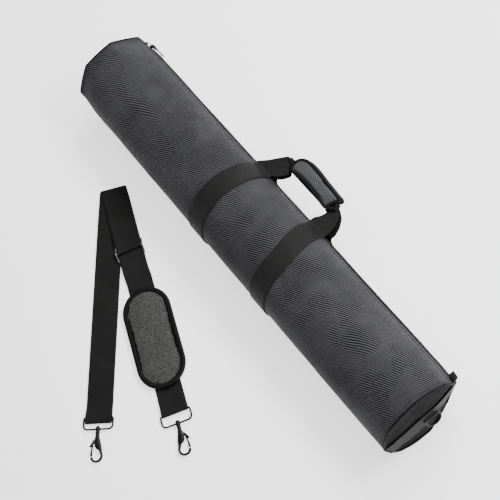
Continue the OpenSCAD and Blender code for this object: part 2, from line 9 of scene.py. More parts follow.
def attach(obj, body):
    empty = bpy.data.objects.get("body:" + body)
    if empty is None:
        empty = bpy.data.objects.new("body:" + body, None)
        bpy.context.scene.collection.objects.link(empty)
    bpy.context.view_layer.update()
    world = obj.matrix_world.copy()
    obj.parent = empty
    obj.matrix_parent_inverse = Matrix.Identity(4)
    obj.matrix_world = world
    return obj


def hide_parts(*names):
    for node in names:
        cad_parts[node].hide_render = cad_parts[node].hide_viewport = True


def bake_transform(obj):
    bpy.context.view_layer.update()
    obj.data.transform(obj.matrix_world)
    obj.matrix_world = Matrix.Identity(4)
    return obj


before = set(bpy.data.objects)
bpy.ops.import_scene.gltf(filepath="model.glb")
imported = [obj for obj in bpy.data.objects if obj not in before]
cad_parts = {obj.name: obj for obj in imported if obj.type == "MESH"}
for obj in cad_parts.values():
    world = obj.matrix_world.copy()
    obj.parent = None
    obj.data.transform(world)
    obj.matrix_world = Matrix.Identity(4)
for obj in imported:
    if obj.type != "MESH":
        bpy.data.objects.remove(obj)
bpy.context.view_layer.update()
MM = 0.001


# ---- the bag's own dimensions, in millimetres, as in its CAD source ----

TUBE_R = 80.0
TUBE_HALF = 446.0
END_WEB_Z = -12.0
REST_HALF = 28.0
DROP = math.sqrt(TUBE_R ** 2 - REST_HALF ** 2)
ZIP_ANGLE = math.radians(12)
SLOT_HALF = 7.0
FLAT_FROM = math.radians(-90) - math.asin(REST_HALF / TUBE_R)
BAND_T = 1.5
FAR_MID, FAR_LEAN = -70.5, 5.0
NEAR_MID, NEAR_LEAN = 110.5, -22.0
BAND_HALF = 20.5
GRIP_X = (-35.0, 74.0)
GRIP_IN, GRIP_OUT = 113.0, 146.0
FLEX_FROM, FLEX_TO = 84.0, 102.0
FOLD = np.array([-303.5, -150.5])
LEFT_DIR, RIGHT_DIR = math.radians(-39.2), math.radians(-21.4)
LEFT_LEN, RIGHT_LEN = 436.0, 457.5
RIGHT_SHIFT = 3.5
STRAP_W = 50.0
PAD_AT, PAD_LEN, PAD_W = 313.0, 196.0, 92.0
PAD_Z, PAD_TOP = 2.9, 12.0
BAR_Z = 4.4

# how the ends slump: the near end's low side leans back, and both rims go a little flat
SLOUCH, SLOUCH_AT, SLOUCH_WIDTH = 16.0, math.radians(-34), 57.0
SLOUCH_FROM, SLOUCH_RUN = 372.0, 75.0
RIM_FROM, RIM_RUN = 400.0, 46.0


def clamp(t):
    return min(1.0, max(0.0, t))


def smooth(t):
    t = clamp(t)
    return t * t * (3 - 2 * t)


def fbm(x, y, z, seed=0.0):
    return noise.fractal(Vector((x + seed, y, z)), 1.0, 2.0, 3)


def zip_point(x, out, across):
    """A point in the zip's turned frame: along the tube, out from its axis, and across the zip."""
    c, s = math.cos(ZIP_ANGLE), math.sin(ZIP_ANGLE)
    return np.array([x, out * c - across * s, DROP + out * s + across * c])


def from_zip(p):
    """(x, out, across) of a point of the tube's frame."""
    c, s = math.cos(ZIP_ANGLE), math.sin(ZIP_ANGLE)
    y, z = p[1], p[2] - DROP
    return p[0], y * c + z * s, z * c - y * s


ZIP_UP = (0.0, -math.sin(ZIP_ANGLE), math.cos(ZIP_ANGLE))


def leg_point(left, along, side, up):
    """A point in a strap leg's frame, from the fold towards its hook."""
    a = LEFT_DIR if left else RIGHT_DIR
    d, n = np.array([math.cos(a), math.sin(a)]), np.array([-math.sin(a), math.cos(a)])
    p = FOLD + d * along + n * (side + (0 if left else RIGHT_SHIFT))
    return np.array([p[0], p[1], up])


def facet(psi, count, turn):
    """How far in from its circle a rim stands where it goes flat between its corners."""
    half = math.pi / count
    return TUBE_R * (1 - math.cos(half) / math.cos((psi + turn) % (2 * half) - half))


def settle(p):
    """Where padding, cloth and end trim slump to."""
    x, y, z = p
    r, psi = math.hypot(y, z - DROP), math.atan2(z - DROP, y)
    share = min(1.2, r / TUBE_R)
    turn = math.atan2(math.sin(psi - SLOUCH_AT), math.cos(psi - SLOUCH_AT))
    low = max(0.0, math.cos(min(math.pi / 2, abs(turn) * 90 / SLOUCH_WIDTH)))
    dx = -SLOUCH * low * share ** 2.2 * smooth((x - SLOUCH_FROM) / SLOUCH_RUN)
    far, near = smooth((-x - RIM_FROM) / RIM_RUN), smooth((x - RIM_FROM) / RIM_RUN)
    dr = -share ** 2 * (0.75 * far * facet(psi, 8, 0.32) + 0.35 * near * facet(psi, 8, 0.1))
    dx += far * share ** 2 * (2.5 + 2.0 * math.sin(2 * psi + 1.1))
    if r > 1e-6:
        y, z = y * (1 + dr / r), DROP + (z - DROP) * (1 + dr / r)
    return np.array([x + dx, y, max(z, 0.0)])


# ---- shader helpers ----

class Shader:
    def __init__(self, name):
        self.mat = bpy.data.materials.new(name)
        self.mat.use_nodes = True
        self.tree = self.mat.node_tree
        self.tree.nodes.clear()
        self.out = self.tree.nodes.new("ShaderNodeOutputMaterial")
        self.bsdf = self.tree.nodes.new("ShaderNodeBsdfPrincipled")
        self.tree.links.new(self.bsdf.outputs[0], self.out.inputs["Surface"])

    def node(self, kind, **props):
        n = self.tree.nodes.new(kind)
        for k, v in props.items():
            setattr(n, k, v)
        return n

    def link(self, a, b):
        self.tree.links.new(a, b)

    def put(self, socket, value):
        if isinstance(value, bpy.types.NodeSocket):
            self.link(value, socket)
        else:
            socket.default_value = value

    def math(self, op, *values):
        n = self.node("ShaderNodeMath", operation=op)
        for i, v in enumerate(values):
            self.put(n.inputs[i], v)
        return n.outputs[0]

    def mul(self, a, b):
        return self.math("MULTIPLY", a, b)

    def add(self, a, b):
        return self.math("ADD", a, b)

    def sub(self, a, b):
        return self.math("SUBTRACT", a, b)

    def bead(self, value, period, power):
        """Rounded beads along a coordinate: the absolute sine, sharpened or flattened by a power."""
        sine = self.math("SINE", self.mul(value, math.pi / period))
        return self.math("POWER", self.math("ABSOLUTE", sine), power)

    def place(self):
        return self.node("ShaderNodeTexCoord").outputs["Object"]

    def uv(self):
        n = self.node("ShaderNodeUVMap", uv_map="cloth")
        s = self.node("ShaderNodeSeparateXYZ")
        self.link(n.outputs[0], s.inputs[0])
        return n.outputs[0], s.outputs[0], s.outputs[1]

    def noise(self, vector, scale, detail=3.0):
        n = self.node("ShaderNodeTexNoise", noise_dimensions="3D")
        self.link(vector, n.inputs["Vector"])
        n.inputs["Scale"].default_value = scale
        n.inputs["Detail"].default_value = detail
        n.inputs["Roughness"].default_value = 0.55
        return n.outputs[0]

    def ramp(self, value, low, high, to_low=0.0, to_high=1.0):
        n = self.node("ShaderNodeMapRange", interpolation_type="SMOOTHSTEP")
        for i, v in enumerate((value, low, high, to_low, to_high)):
            self.put(n.inputs[i], v)
        return n.outputs[0]

    def mix(self, share, a, b):
        n = self.node("ShaderNodeMix", data_type="RGBA")
        self.put(n.inputs[0], share)
        for socket, v in ((n.inputs[6], a), (n.inputs[7], b)):
            self.put(socket, v if isinstance(v, bpy.types.NodeSocket) else (*v, 1.0))
        return n.outputs[2]

    def stretch(self, vector, scale):
        n = self.node("ShaderNodeMapping")
        self.link(vector, n.inputs["Vector"])
        n.inputs["Scale"].default_value = scale
        return n.outputs[0]

    def bump(self, height, distance, strength=1.0, under=None):
        n = self.node("ShaderNodeBump")
        self.link(height, n.inputs["Height"])
        n.inputs["Distance"].default_value = distance
        n.inputs["Strength"].default_value = strength
        if under is not None:
            self.link(under, n.inputs["Normal"])
        return n.outputs[0]

    def finish(self, color=None, rough=None, normal=None, **uniform):
        for name, value in (("Base Color", color), ("Roughness", rough), ("Normal", normal)):
            if value is not None:
                self.put(self.bsdf.inputs[name], value)
        for name, value in uniform.items():
            self.bsdf.inputs[name.replace("_", " ")].default_value = value
        return self.mat


def weave_height(s, u, v, pitch_u, pitch_v):
    """Plain weave: threads over and under each other's, and 1 where a crosswise one is on top."""
    sa, sb = (s.math("SINE", s.mul(c, math.pi / pitch)) for c, pitch in ((u, pitch_u), (v, pitch_v)))
    over = s.ramp(s.mul(sa, sb), -0.25, 0.25)
    along, across = (s.math("POWER", s.math("ABSOLUTE", c), 0.6) for c in (sa, sb))
    return s.add(s.mul(over, across), s.mul(s.sub(1.0, over), along)), over


def cloth_material(name, dark, light, pitch=(0.0021, 0.0017), depth=0.0006, sheen=0.02, tint=None,
                   ribs=0.0, bar=0.0036, spec=0.07):
    """Coated oxford cloth: a plain weave, and with ribs above 0 its two rows' wavy bars as well."""
    s = Shader(name)
    vec, u, v = s.uv()
    uu = s.add(u, s.mul(s.sub(s.noise(vec, 9.0, 2.0), 0.5), 0.006))
    height, over = weave_height(s, uu, v, *pitch)
    threads = s.noise(s.stretch(vec, (14.0, 420.0, 1.0)), 1.0, 2.0)
    picks = s.noise(s.stretch(vec, (420.0, 14.0, 1.0)), 1.0, 2.0)
    patch = s.noise(vec, 7.0, 3.0)
    share = s.mul(height, s.ramp(over, 0.0, 1.0, 0.72, 1.0))
    share = s.add(s.mul(share, 0.82), s.mul(threads, 0.18))
    share = s.mul(share, s.ramp(picks, 0.25, 0.75, 0.86, 1.06))
    if ribs:
        drift = s.mul(s.noise(s.stretch(vec, (1.0, 2.0, 1.0)), 7.0, 1.0), 0.020)
        slant = s.add(s.mul(u, 0.50), s.mul(v, 0.87))
        phase = s.mul(s.add(slant, drift), 2 * math.pi / bar)
        bars = s.ramp(s.math("SINE", phase), -0.15, 0.75, 1.0 - ribs, 1.0 + 0.9 * ribs)
        fade = s.ramp(s.noise(vec, 22.0, 1.0), 0.34, 0.56)
        share = s.mul(share, s.add(s.mul(fade, bars), s.mul(s.sub(1.0, fade), 0.74)))
        height = s.mul(height, s.ramp(bars, 1.0 - ribs, 1.0, 0.6, 1.0))
    color = s.mix(share, dark, light)
    if tint:
        color = s.mix(s.ramp(patch, 0.35, 0.7, 0.0, 0.4), color, tint)
    roughness = s.sub(s.add(s.mul(patch, 0.16), 0.58), s.mul(height, 0.08))
    coarse = s.bump(s.noise(vec, 60.0, 3.0), 0.0006, 0.35)
    return s.finish(color, roughness, s.bump(height, depth, 1.0, coarse),
                    Sheen_Weight=sheen, Sheen_Roughness=0.5, Specular_IOR_Level=spec)


def webbing_material(name, dark, light, rib=0.0023, depth=0.0005):
    """Polyester webbing: ribs across its width, set in rows of herringbone along it."""
    s = Shader(name)
    vec, u, v = s.uv()
    row = s.mul(s.bead(v, 0.0031, 1.0), 0.0006)
    fuzz = s.noise(s.stretch(vec, (300.0, 900.0, 1.0)), 1.0, 3.0)
    patch = s.noise(vec, 16.0, 3.0)
    height = s.add(s.mul(s.bead(s.add(u, row), rib, 0.7), 0.7), s.mul(s.bead(v, 0.00105, 0.5), 0.3))
    share = s.mul(s.mul(height, s.ramp(patch, 0.3, 0.7, 0.75, 1.05)), s.ramp(fuzz, 0.2, 0.8, 0.75, 1.1))
    return s.finish(s.mix(share, dark, light), s.ramp(fuzz, 0.2, 0.8, 0.52, 0.72),
                    s.bump(height, depth, 1.0, s.bump(fuzz, 0.0002, 0.5)),
                    Sheen_Weight=0.0, Specular_IOR_Level=0.13)


def pebbled_material(name, dark, light, scale):
    """Coated cloth with a pebbled face."""
    s = Shader(name)
    vec = s.uv()[0]
    cells = s.node("ShaderNodeTexVoronoi", feature="SMOOTH_F1")
    s.link(vec, cells.inputs["Vector"])
    cells.inputs["Scale"].default_value = scale
    cells.inputs["Smoothness"].default_value = 0.4
    dots = s.ramp(cells.outputs["Distance"], 0.15, 0.75, 1.0, 0.0)
    patch = s.noise(vec, 26.0, 4.0)
    share = s.mul(dots, s.ramp(s.noise(vec, 900.0, 2.0), 0.25, 0.75, 0.7, 1.15))
    color = s.mix(s.mul(share, s.ramp(patch, 0.3, 0.7, 0.85, 1.1)), dark, light)
    return s.finish(color, s.ramp(patch, 0.3, 0.7, 0.6, 0.78), s.bump(dots, 0.0007, 0.9),
                    Specular_IOR_Level=0.2)


def metal_material(name, color, worn, rough, metallic=1.0, spec=0.5):
    """Cast or drawn metal with a fine grain, a little paler where it is worn."""
    s = Shader(name)
    place = s.place()
    patch = s.noise(place, 160.0, 4.0)
    fine = s.noise(place, 1400.0, 2.0)
    roughness = s.add(s.ramp(patch, 0.3, 0.7, rough - 0.06, rough + 0.08), s.mul(fine, 0.05))
    return s.finish(s.mix(s.ramp(patch, 0.45, 0.75), color, worn), roughness,
                    s.bump(fine, 0.00004, 0.5, s.bump(patch, 0.0003, 0.25)),
                    Metallic=metallic, Specular_IOR_Level=spec)


def soft_material(name, dark, light, scale, depth, rough=0.85):
    """Foam, thread and other small matt pieces, from their place in space."""
    s = Shader(name)
    grain = s.noise(s.place(), scale, 4.0)
    return s.finish(s.mix(s.ramp(grain, 0.3, 0.7), dark, light),
                    s.ramp(grain, 0.3, 0.7, rough - 0.08, rough + 0.05), s.bump(grain, depth, 0.7),
                    Specular_IOR_Level=0.3)


OXFORD = cloth_material("oxford", (0.0022, 0.0022, 0.0031), (0.105, 0.105, 0.111),
                        tint=(0.0080, 0.0077, 0.0112), ribs=0.95)
# The ends' oxford cloth: a copy of the shell's cloth with its light threads about six times darker and no
# sheen. This is painted shade for the ends that face away from the key light.
END_CLOTH_PAINTED_SHADE = cloth_material("end_cloth_painted_shade", (0.0022, 0.0022, 0.0026), (0.016, 0.016, 0.0175),
                           (0.0012, 0.0012), 0.0003, sheen=0.0, spec=0.02)
GRIP_CLOTH = cloth_material("grip_cloth", (0.012, 0.0122, 0.013), (0.130, 0.132, 0.136),
                            (0.0024, 0.0020), ribs=0.7, bar=0.0027)
LINING = cloth_material("lining_cloth", (0.006, 0.006, 0.007), (0.020, 0.020, 0.022), (0.001, 0.001), 0.0002)
WEBBING = webbing_material("webbing", (0.0010, 0.0010, 0.0010), (0.0165, 0.0165, 0.0160))
BINDING = webbing_material("binding", (0.0008, 0.0008, 0.0009), (0.0060, 0.0060, 0.0063), 0.0014, 0.0003)
ZIP_TAPE = webbing_material("zip_tape", (0.0025, 0.0025, 0.0028), (0.022, 0.022, 0.024), 0.0010, 0.0002)
PAD_CLOTH = pebbled_material("pad_cloth", (0.020, 0.0202, 0.0196), (0.135, 0.136, 0.131), 900.0)
THREAD = soft_material("thread", (0.003, 0.003, 0.003), (0.014, 0.014, 0.015), 3000.0, 0.00005, 0.6)
COIL = soft_material("coil_nylon", (0.003, 0.003, 0.0033), (0.012, 0.012, 0.013), 900.0, 0.00005, 0.42)
FOAM = soft_material("foam_cells", (0.10, 0.10, 0.105), (0.20, 0.20, 0.21), 1500.0, 0.0004)
TOUCH = soft_material("touch_nap", (0.006, 0.006, 0.006), (0.030, 0.030, 0.030), 2600.0, 0.0006)
GUNMETAL = metal_material("gunmetal", (0.0022, 0.0022, 0.0024), (0.008, 0.008, 0.0084), 0.38, 0.12, 0.22)
STEEL = metal_material("bright_steel", (0.62, 0.63, 0.65), (0.80, 0.81, 0.82), 0.22)


# ---- mesh helpers ----

def make(name, verts_mm, faces, material, uvs=None, flat=False):
    """A mesh from points in millimetres, with its cloth coordinates in metres."""
    me = bpy.data.meshes.new(name)
    me.from_pydata((np.array(verts_mm, float) * MM).tolist(), [], faces)
    me.materials.append(material)
    if uvs is not None:
        layer = me.uv_layers.new(name="cloth")
        index = np.zeros(len(me.loops), int)
        me.loops.foreach_get("vertex_index", index)
        layer.data.foreach_set("uv", np.array(uvs, float)[index].ravel())
    me.polygons.foreach_set("use_smooth", [not flat] * len(me.polygons))
    me.update()
    o = bpy.data.objects.new(name, me)
    bpy.context.scene.collection.objects.link(o)
    return o


def outward(o):
    bm = bmesh.new()
    bm.from_mesh(o.data)
    bmesh.ops.recalc_face_normals(bm, faces=bm.faces)
    bm.to_mesh(o.data)
    bm.free()
    o.data.update()
    return o


def distances(p):
    """Distance along a line of points, from its first one."""
    return np.r_[0, np.cumsum(np.linalg.norm(np.diff(p, axis=0), axis=1))]


def tween(t, d, q):
    """A line's points at distances t, from its own points q at distances d."""
    return np.column_stack([np.interp(t, d, q[:, k]) for k in range(q.shape[1])])


def resample(points, step):
    """Even points along the given line, measured by its first three columns."""
    p = np.array(points, float)
    d = distances(p[:, :3])
    n = max(2, int(round(d[-1] / step)) + 1)
    return tween(np.linspace(0, d[-1], n), d, p)


def relax(p, rounds):
    """Rounds a line's corners and keeps its two ends."""
    p = p.copy()
    for _ in range(rounds):
        p[1:-1] = 0.25 * p[:-2] + 0.5 * p[1:-1] + 0.25 * p[2:]
    return p


def section(half_w, half_t):
    """A strap's rounded section as (across, up): its top, one edge, its underside and the other edge."""
    flat = half_w - half_t
    run = [-flat + 2 * flat * i / 14 for i in range(15)]
    turn = [(half_t * math.sin(a), half_t * math.cos(a)) for a in [math.pi * k / 5 for k in range(1, 5)]]
    return ([(w, half_t) for w in run] + [(flat + w, h) for w, h in turn]
            + [(-w, -half_t) for w in run] + [(-flat - w, -h) for w, h in turn])


def tube_faces(rows, m, closed=False):
    """Faces of a solid made of rows of m points each, with its two ends filled unless it closes on itself."""
    faces = []
    for i in range(rows if closed else rows - 1):
        a, b = i * m, (i + 1) % rows * m
        faces += [(a + k, a + (k + 1) % m, b + (k + 1) % m, b + k) for k in range(m)]
    if not closed:
        faces += [tuple(range(m)), tuple(reversed(range((rows - 1) * m, rows * m)))]
    return faces


def disc_faces(rings, around):
    """Faces of a round solid: an upper and a lower layer, each a middle point and its rings, and the edge."""
    n = 1 + rings * around
    at = lambda i, k, l: l * n + (0 if i == 0 else 1 + (i - 1) * around + k % around)
    faces = []
    for l in (0, 1):
        for k in range(around):
            f = [(at(0, 0, l), at(1, k, l), at(1, k + 1, l))]
            f += [(at(i, k, l), at(i + 1, k, l), at(i + 1, k + 1, l), at(i, k + 1, l))
                  for i in range(1, rings)]
            faces += f if l == 0 else [g[::-1] for g in f]
    return faces + [(at(rings, k, 0), at(rings, k, 1), at(rings, k + 1, 1), at(rings, k + 1, 0))
                    for k in range(around)]


def select_only(*objects):
    bpy.ops.object.select_all(action="DESELECT")
    bpy.context.view_layer.objects.active = objects[0]
    for o in objects:
        o.select_set(True)


def modify(o, kind, **settings):
    """Puts a modifier on a piece and applies it."""
    select_only(o)
    m = o.modifiers.new(kind.lower(), kind)
    for name, value in settings.items():
        setattr(m, name, value)
    bpy.ops.object.modifier_apply(modifier=m.name)


def ribbon(name, edge_a, edge_b, thick, material, wave=0.0, seed=0.0):
    """A strap between two edge lines of equal count, with rounded edges and woven coordinates."""
    a, b = np.array(edge_a, float), np.array(edge_b, float)
    mid = (a + b) / 2
    side = b - a
    half = np.linalg.norm(side, axis=1) / 2
    side = side / (2 * half[:, None])
    up = np.cross(np.gradient(mid, axis=0), side)
    up /= np.linalg.norm(up, axis=1)[:, None]
    length = distances(mid)
    verts, uvs = [], []
    for i in range(len(mid)):
        ring = section(half[i], thick / 2)
        for w, h in ring:
            lift = wave * fbm(length[i] * 0.035, w * 0.03, 0.0, seed)
            verts.append(mid[i] + side[i] * w + up[i] * (h + lift))
            uvs.append((length[i] * MM, (w + (half[i] * 2 if h < 0 else 0)) * MM))
    o = outward(make(name, verts, tube_faces(len(mid), len(ring)), material, uvs))
    return o, mid, side, up


def tube_along(name, path, radius, material, sides=8, closed=False):
    """A round cord, wire or thread that follows a line of points."""
    p = np.array(path, float)
    run = np.roll(p, -1, axis=0) - np.roll(p, 1, axis=0) if closed else np.gradient(p, axis=0)
    run /= np.linalg.norm(run, axis=1)[:, None]
    start = np.cross(run[0], [0.0, 0.0, 1.0])
    if np.linalg.norm(start) < 0.1:
        start = np.cross(run[0], [0.0, 1.0, 0.0])
    n = start / np.linalg.norm(start)
    verts, uvs, length = [], [], 0.0
    for i in range(len(p)):
        n = n - run[i] * np.dot(n, run[i])
        n /= np.linalg.norm(n)
        b = np.cross(run[i], n)
        length += np.linalg.norm(p[i] - p[i - 1]) if i else 0.0
        for k in range(sides):
            a = 2 * math.pi * k / sides
            verts.append(p[i] + (n * math.cos(a) + b * math.sin(a)) * radius)
            uvs.append((length * MM, radius * a * MM))
    return outward(make(name, verts, tube_faces(len(p), sides, closed), material, uvs))


class Stitches:
    """Collects short raised stitches and makes them one piece."""

    def __init__(self, name):
        self.name, self.verts, self.faces, self.uvs = name, [], [], []

    def line(self, path, ups, pitch, length, radius, proud=0.0):
        """A row of stitches along a path, each raised from its middle line by proud."""
        p, u = np.array(path, float), np.array(ups, float)
        d = distances(p)
        start = (np.arange(int(d[-1] / pitch)) + 0.5) * pitch - length / 2
        a, b, up = tween(start, d, p), tween(start + length, d, p), tween(start + length / 2, d, u)
        up /= np.linalg.norm(up, axis=1)[:, None]
        run = (b - a) / np.maximum(1e-6, np.linalg.norm(b - a, axis=1))[:, None]
        side = np.cross(run, up)
        base = len(self.verts)
        rows = []
        for share, rise, size in ((0.0, -0.25, 0.5), (0.2, 0.0, 1.0), (0.8, 0.0, 1.0), (1.0, -0.25, 0.5)):
            c = a + (b - a) * share + up * (proud + rise)
            for k in range(6):
                w = math.pi * k / 3
                rows.append(c + (side * math.cos(w) + up * math.sin(w) * 0.8) * radius * size)
        block = np.stack(rows, axis=1)
        for i in range(len(start)):
            self.verts.extend(block[i])
            self.uvs.extend([(0.0, 0.0)] * 24)
            q0 = base + i * 24
            for r in range(3):
                for k in range(6):
                    l, q = (k + 1) % 6, q0 + r * 6
                    self.faces.append((q + k, q + l, q + 6 + l, q + 6 + k))
            self.faces.append(tuple(q0 + k for k in reversed(range(6))))
            self.faces.append(tuple(q0 + 18 + k for k in range(6)))

    def done(self):
        return outward(make(self.name, self.verts, self.faces, THREAD, self.uvs))


def dress(o, body, slot, *nodes):
    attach(o, body)
    if nodes:
        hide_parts(*nodes)
    return o


# ---- camera, floor and light ----

cam_data = bpy.data.cameras.new("camera")
cam_data.sensor_width = 36.0
cam_data.lens = 108.0
cam_data.clip_start = 0.05
cam_data.clip_end = 50.0
cam = bpy.data.objects.new("camera", cam_data)
bpy.context.scene.collection.objects.link(cam)
view_right = Vector((0.5841244, 0.75051814, -0.30906504))
view_up = Vector((-0.67179432, 0.66074011, 0.33483562))
view_back = Vector((0.45551187, 0.01204248, 0.89014825))
cam.matrix_world = Matrix((
    (view_right.x, view_up.x, view_back.x, 1.19276),
    (view_right.y, view_up.y, view_back.y, 0.0),
    (view_right.z, view_up.z, view_back.z, 2.36718),
    (0.0, 0.0, 0.0, 1.0)))
bpy.context.scene.camera = cam


def floor_material():
    s = Shader("pale_floor")
    grain = s.noise(s.place(), 40.0, 3.0)
    s.bsdf.inputs["Emission Color"].default_value = (1.0, 1.0, 1.0, 1.0)
    s.bsdf.inputs["Emission Strength"].default_value = 1.4
    return s.finish(s.mix(grain, (0.90, 0.90, 0.90), (0.93, 0.93, 0.93)),
                    s.ramp(grain, 0.3, 0.7, 0.85, 0.92))


FLOOR_HALF, FLOOR_Z = 6000, -1.2
corners = [(x * FLOOR_HALF, y * FLOOR_HALF, FLOOR_Z) for x, y in ((-1, -1), (1, -1), (1, 1), (-1, 1))]
floor = make("floor", corners, [(0, 1, 2, 3)], floor_material())

world = bpy.data.worlds.new("studio")
world.use_nodes = True
world.node_tree.nodes["Background"].inputs[0].default_value = (1.0, 1.0, 1.0, 1.0)
world.node_tree.nodes["Background"].inputs[1].default_value = 0.22
bpy.context.scene.world = world


def softbox(name, place, aim, size, power):
    data = bpy.data.lights.new(name, "AREA")
    data.shape = "RECTANGLE"
    data.size, data.size_y = size
    data.energy = power
    o = bpy.data.objects.new(name, data)
    bpy.context.scene.collection.objects.link(o)
    o.location = place
    o.rotation_euler = (Vector(aim) - Vector(place)).to_track_quat("-Z", "Y").to_euler()


softbox("key", (0.2, 1.3, 1.7), (0.0, 0.0, 0.05), (2.6, 0.6), 92.0)
softbox("top", (0.0, 0.45, 2.6), (0.0, 0.0, 0.0), (2.6, 1.8), 30.0)
softbox("fill", (0.4, -2.2, 1.3), (0.0, 0.0, 0.0), (2.5, 1.2), 0.8)
softbox("end_light", (2.4, -0.2, 0.9), (0.4, 0.0, 0.0), (1.2, 1.2), 1.0)


# ---- tube walls ----

def pinch(x, psi):
    """How much the two sewn bands draw the cloth in, from 0 to 1."""
    out = math.cos(psi - ZIP_ANGLE) * TUBE_R
    slant = clamp((out - 8) / 74) ** 1.3
    best = 0.0
    for mid, lean in ((FAR_MID, FAR_LEAN), (NEAR_MID, NEAR_LEAN)):
        d = abs(x - mid - lean * slant) - BAND_HALF
        best = max(best, 1.0 if d < 0 else math.exp(-(d / 9.0) ** 2))
    return best


def wall_radius(x, psi):
    """Outer radius of the soft wall: round, with shallow dents, drawn in under the bands."""
    a = psi - ZIP_ANGLE
    dents = fbm(x * 0.0065, math.cos(a) * 1.6, math.sin(a) * 1.6, 4.0) * 1.1
    ripples = fbm(x * 0.03, math.cos(a) * 5.0, math.sin(a) * 5.0, 9.0) * 0.35
    tight = pinch(x, psi)
    seam = math.exp(-((abs(math.atan2(math.sin(a), math.cos(a))) * TUBE_R - SLOT_HALF) / 9.0) ** 2)
    ends = math.exp(-((TUBE_HALF - abs(x)) / 14.0) ** 2)
    lobes = math.sin(46 * a + 2.0 * math.sin(3 * a)) * 0.22 * ends
    loose = min(0.0, dents) - 0.15 + ripples * 0.5 - 0.7 * seam
    r = TUBE_R - 0.1 + loose * (1 - tight) - 0.3 * tight + lobes - 0.5 * ends
    return min(r, TUBE_R + 0.6 - 0.9 * tight)


def wall_point(x, psi, inset):
    r = wall_radius(x, psi) - inset
    y, z = r * math.cos(psi), DROP + r * math.sin(psi)
    low = inset + 0.05 * abs(math.sin(x * 0.05))
    if z < low + 6:
        z = low + 6 - 6 * (1 - math.exp((z - low - 6) / 6)) if z > low - 12 else low
    return settle((x, y, max(z, low)))


def tube_layer(name, inset, thick, half_len, slot_half, material, step, around):
    """A soft layer of the wall as a closed thin solid, open at the zip."""
    r = TUBE_R - inset
    gap = math.asin(slot_half / r)
    xs = np.linspace(-half_len, half_len, int(2 * half_len / step) + 1)
    psis = np.linspace(ZIP_ANGLE + gap, ZIP_ANGLE + 2 * math.pi - gap, around + 1)
    verts, uvs = [], []
    for layer in (0.0, thick):
        for x in xs:
            for psi in psis:
                verts.append(wall_point(x, psi, inset + layer))
                uvs.append((x * MM, psi * TUBE_R * MM))
    nx, npsi = len(xs), len(psis)
    n = nx * npsi
    q = lambda i, k, l=0: l * n + i * npsi + k
    faces = []
    for i in range(nx - 1):
        for k in range(npsi - 1):
            faces.append((q(i, k), q(i, k + 1), q(i + 1, k + 1), q(i + 1, k)))
            faces.append((q(i, k, 1), q(i + 1, k, 1), q(i + 1, k + 1, 1), q(i, k + 1, 1)))
        for k in (0, npsi - 1):
            f = (q(i, k), q(i + 1, k), q(i + 1, k, 1), q(i, k, 1))
            faces.append(f if k == 0 else f[::-1])
    for k in range(npsi - 1):
        for i in (0, nx - 1):
            f = (q(i, k + 1), q(i, k), q(i, k, 1), q(i, k + 1, 1))
            faces.append(f if i == 0 else f[::-1])
    return outward(make(name, verts, faces, material, uvs))


shell = tube_layer("tube_shell", 0.0, 1.0, TUBE_HALF, SLOT_HALF, OXFORD, 3.2, 260)
dress(shell, "tube", "oxford_cloth", "outer_shell")
wall_foam = tube_layer("tube_wall_foam", 1.15, 4.9, TUBE_HALF - 6.1, 14.0, FOAM, 16.0, 90)
dress(wall_foam, "tube", "foam", "foam_padding")
wall_lining = tube_layer("tube_wall_lining", 6.2, 0.8, TUBE_HALF - 6.1, SLOT_HALF, LINING, 16.0, 90)
dress(wall_lining, "tube", "lining_cloth", "inner_lining")


# ---- ends ----

def ring_press(y, z):
    """1 where an end ring lies against its end, 0 away from it."""
    return math.exp(-((y - 13) / 24) ** 2 - ((z - DROP - END_WEB_Z) / 18) ** 2)


def end_height(side, y, z):
    """How far an end's cloth stands out or sinks at (y, z)."""
    r = math.hypot(y, z - DROP) / TUBE_R
    swell = 1.2 * (1 - smooth(r))
    crease = -1.6 * math.exp(-((z - DROP + 26 + 0.12 * y) / 5.0) ** 2) * smooth((0.95 - r) / 0.3)
    soft = fbm(y * 0.028, z * 0.028, side * 3.0, 21.0) * 1.5 * smooth((0.96 - r) / 0.2)
    press = ring_press(y, z)
    return float((swell + crease + soft) * (1 - press) - 0.5 * press)


def end_disc(name, side, face_x, thick, radius, material, rings=26, around=128):
    """A round cloth or foam piece that closes an end, with a soft swell and a flat foot."""
    verts, uvs = [], []
    for layer in (0, 1):
        for i in range(rings + 1):
            share = (i / rings) ** 0.9
            for k in range(around if i else 1):
                psi = 2 * math.pi * k / around
                edge = min(radius, (DROP - (TUBE_R - radius)) / max(1e-6, -math.sin(psi))) \
                    if math.sin(psi) < 0 else radius
                r = edge * share
                y, z = r * math.cos(psi), DROP + r * math.sin(psi)
                x = face_x - layer * thick + end_height(side, y, z)
                verts.append(settle((side * x, y, z)))
                uvs.append((y * MM, z * MM))
    return outward(make(name, verts, disc_faces(rings, around), material, uvs))


def rim_line(side, x, radius, count=180):
    pts = []
    for k in range(count):
        psi = 2 * math.pi * k / count
        y, z = radius * math.cos(psi), DROP + radius * math.sin(psi)
        low = TUBE_R - radius
        if z < low + 4:
            z = low + 4 - 4 * (1 - math.exp((z - low - 4) / 4))
        pts.append(settle((side * x, y, max(z, low))))
    return np.array(pts)


for side, end in ((1, "near"), (-1, "far")):
    # Each end panel takes the darkened end copy of the oxford cloth: painted shade.
    panel = end_disc(end + "_end_cloth_painted_shade", side, 447.1, 1.0, 79.6, END_CLOTH_PAINTED_SHADE)
    dress(panel, "tube", "oxford_cloth", end + "_end_panel")
    pad = end_disc(end + "_end_pad", side, 445.9, 4.4, 73.4, FOAM, 12, 48)
    dress(pad, "tube", "foam", end + "_end_foam")
    back = end_disc(end + "_end_back_cloth", side, 441.3, 0.8, 73.4, LINING, 12, 48)
    dress(back, "tube", "lining_cloth", end + "_end_lining")
    piping = tube_along(end + "_end_welt", rim_line(side, 448.2, 78.7), 1.45, BINDING, 10, closed=True)
    dress(piping, "tube", "black_piping", end + "_end_piping")

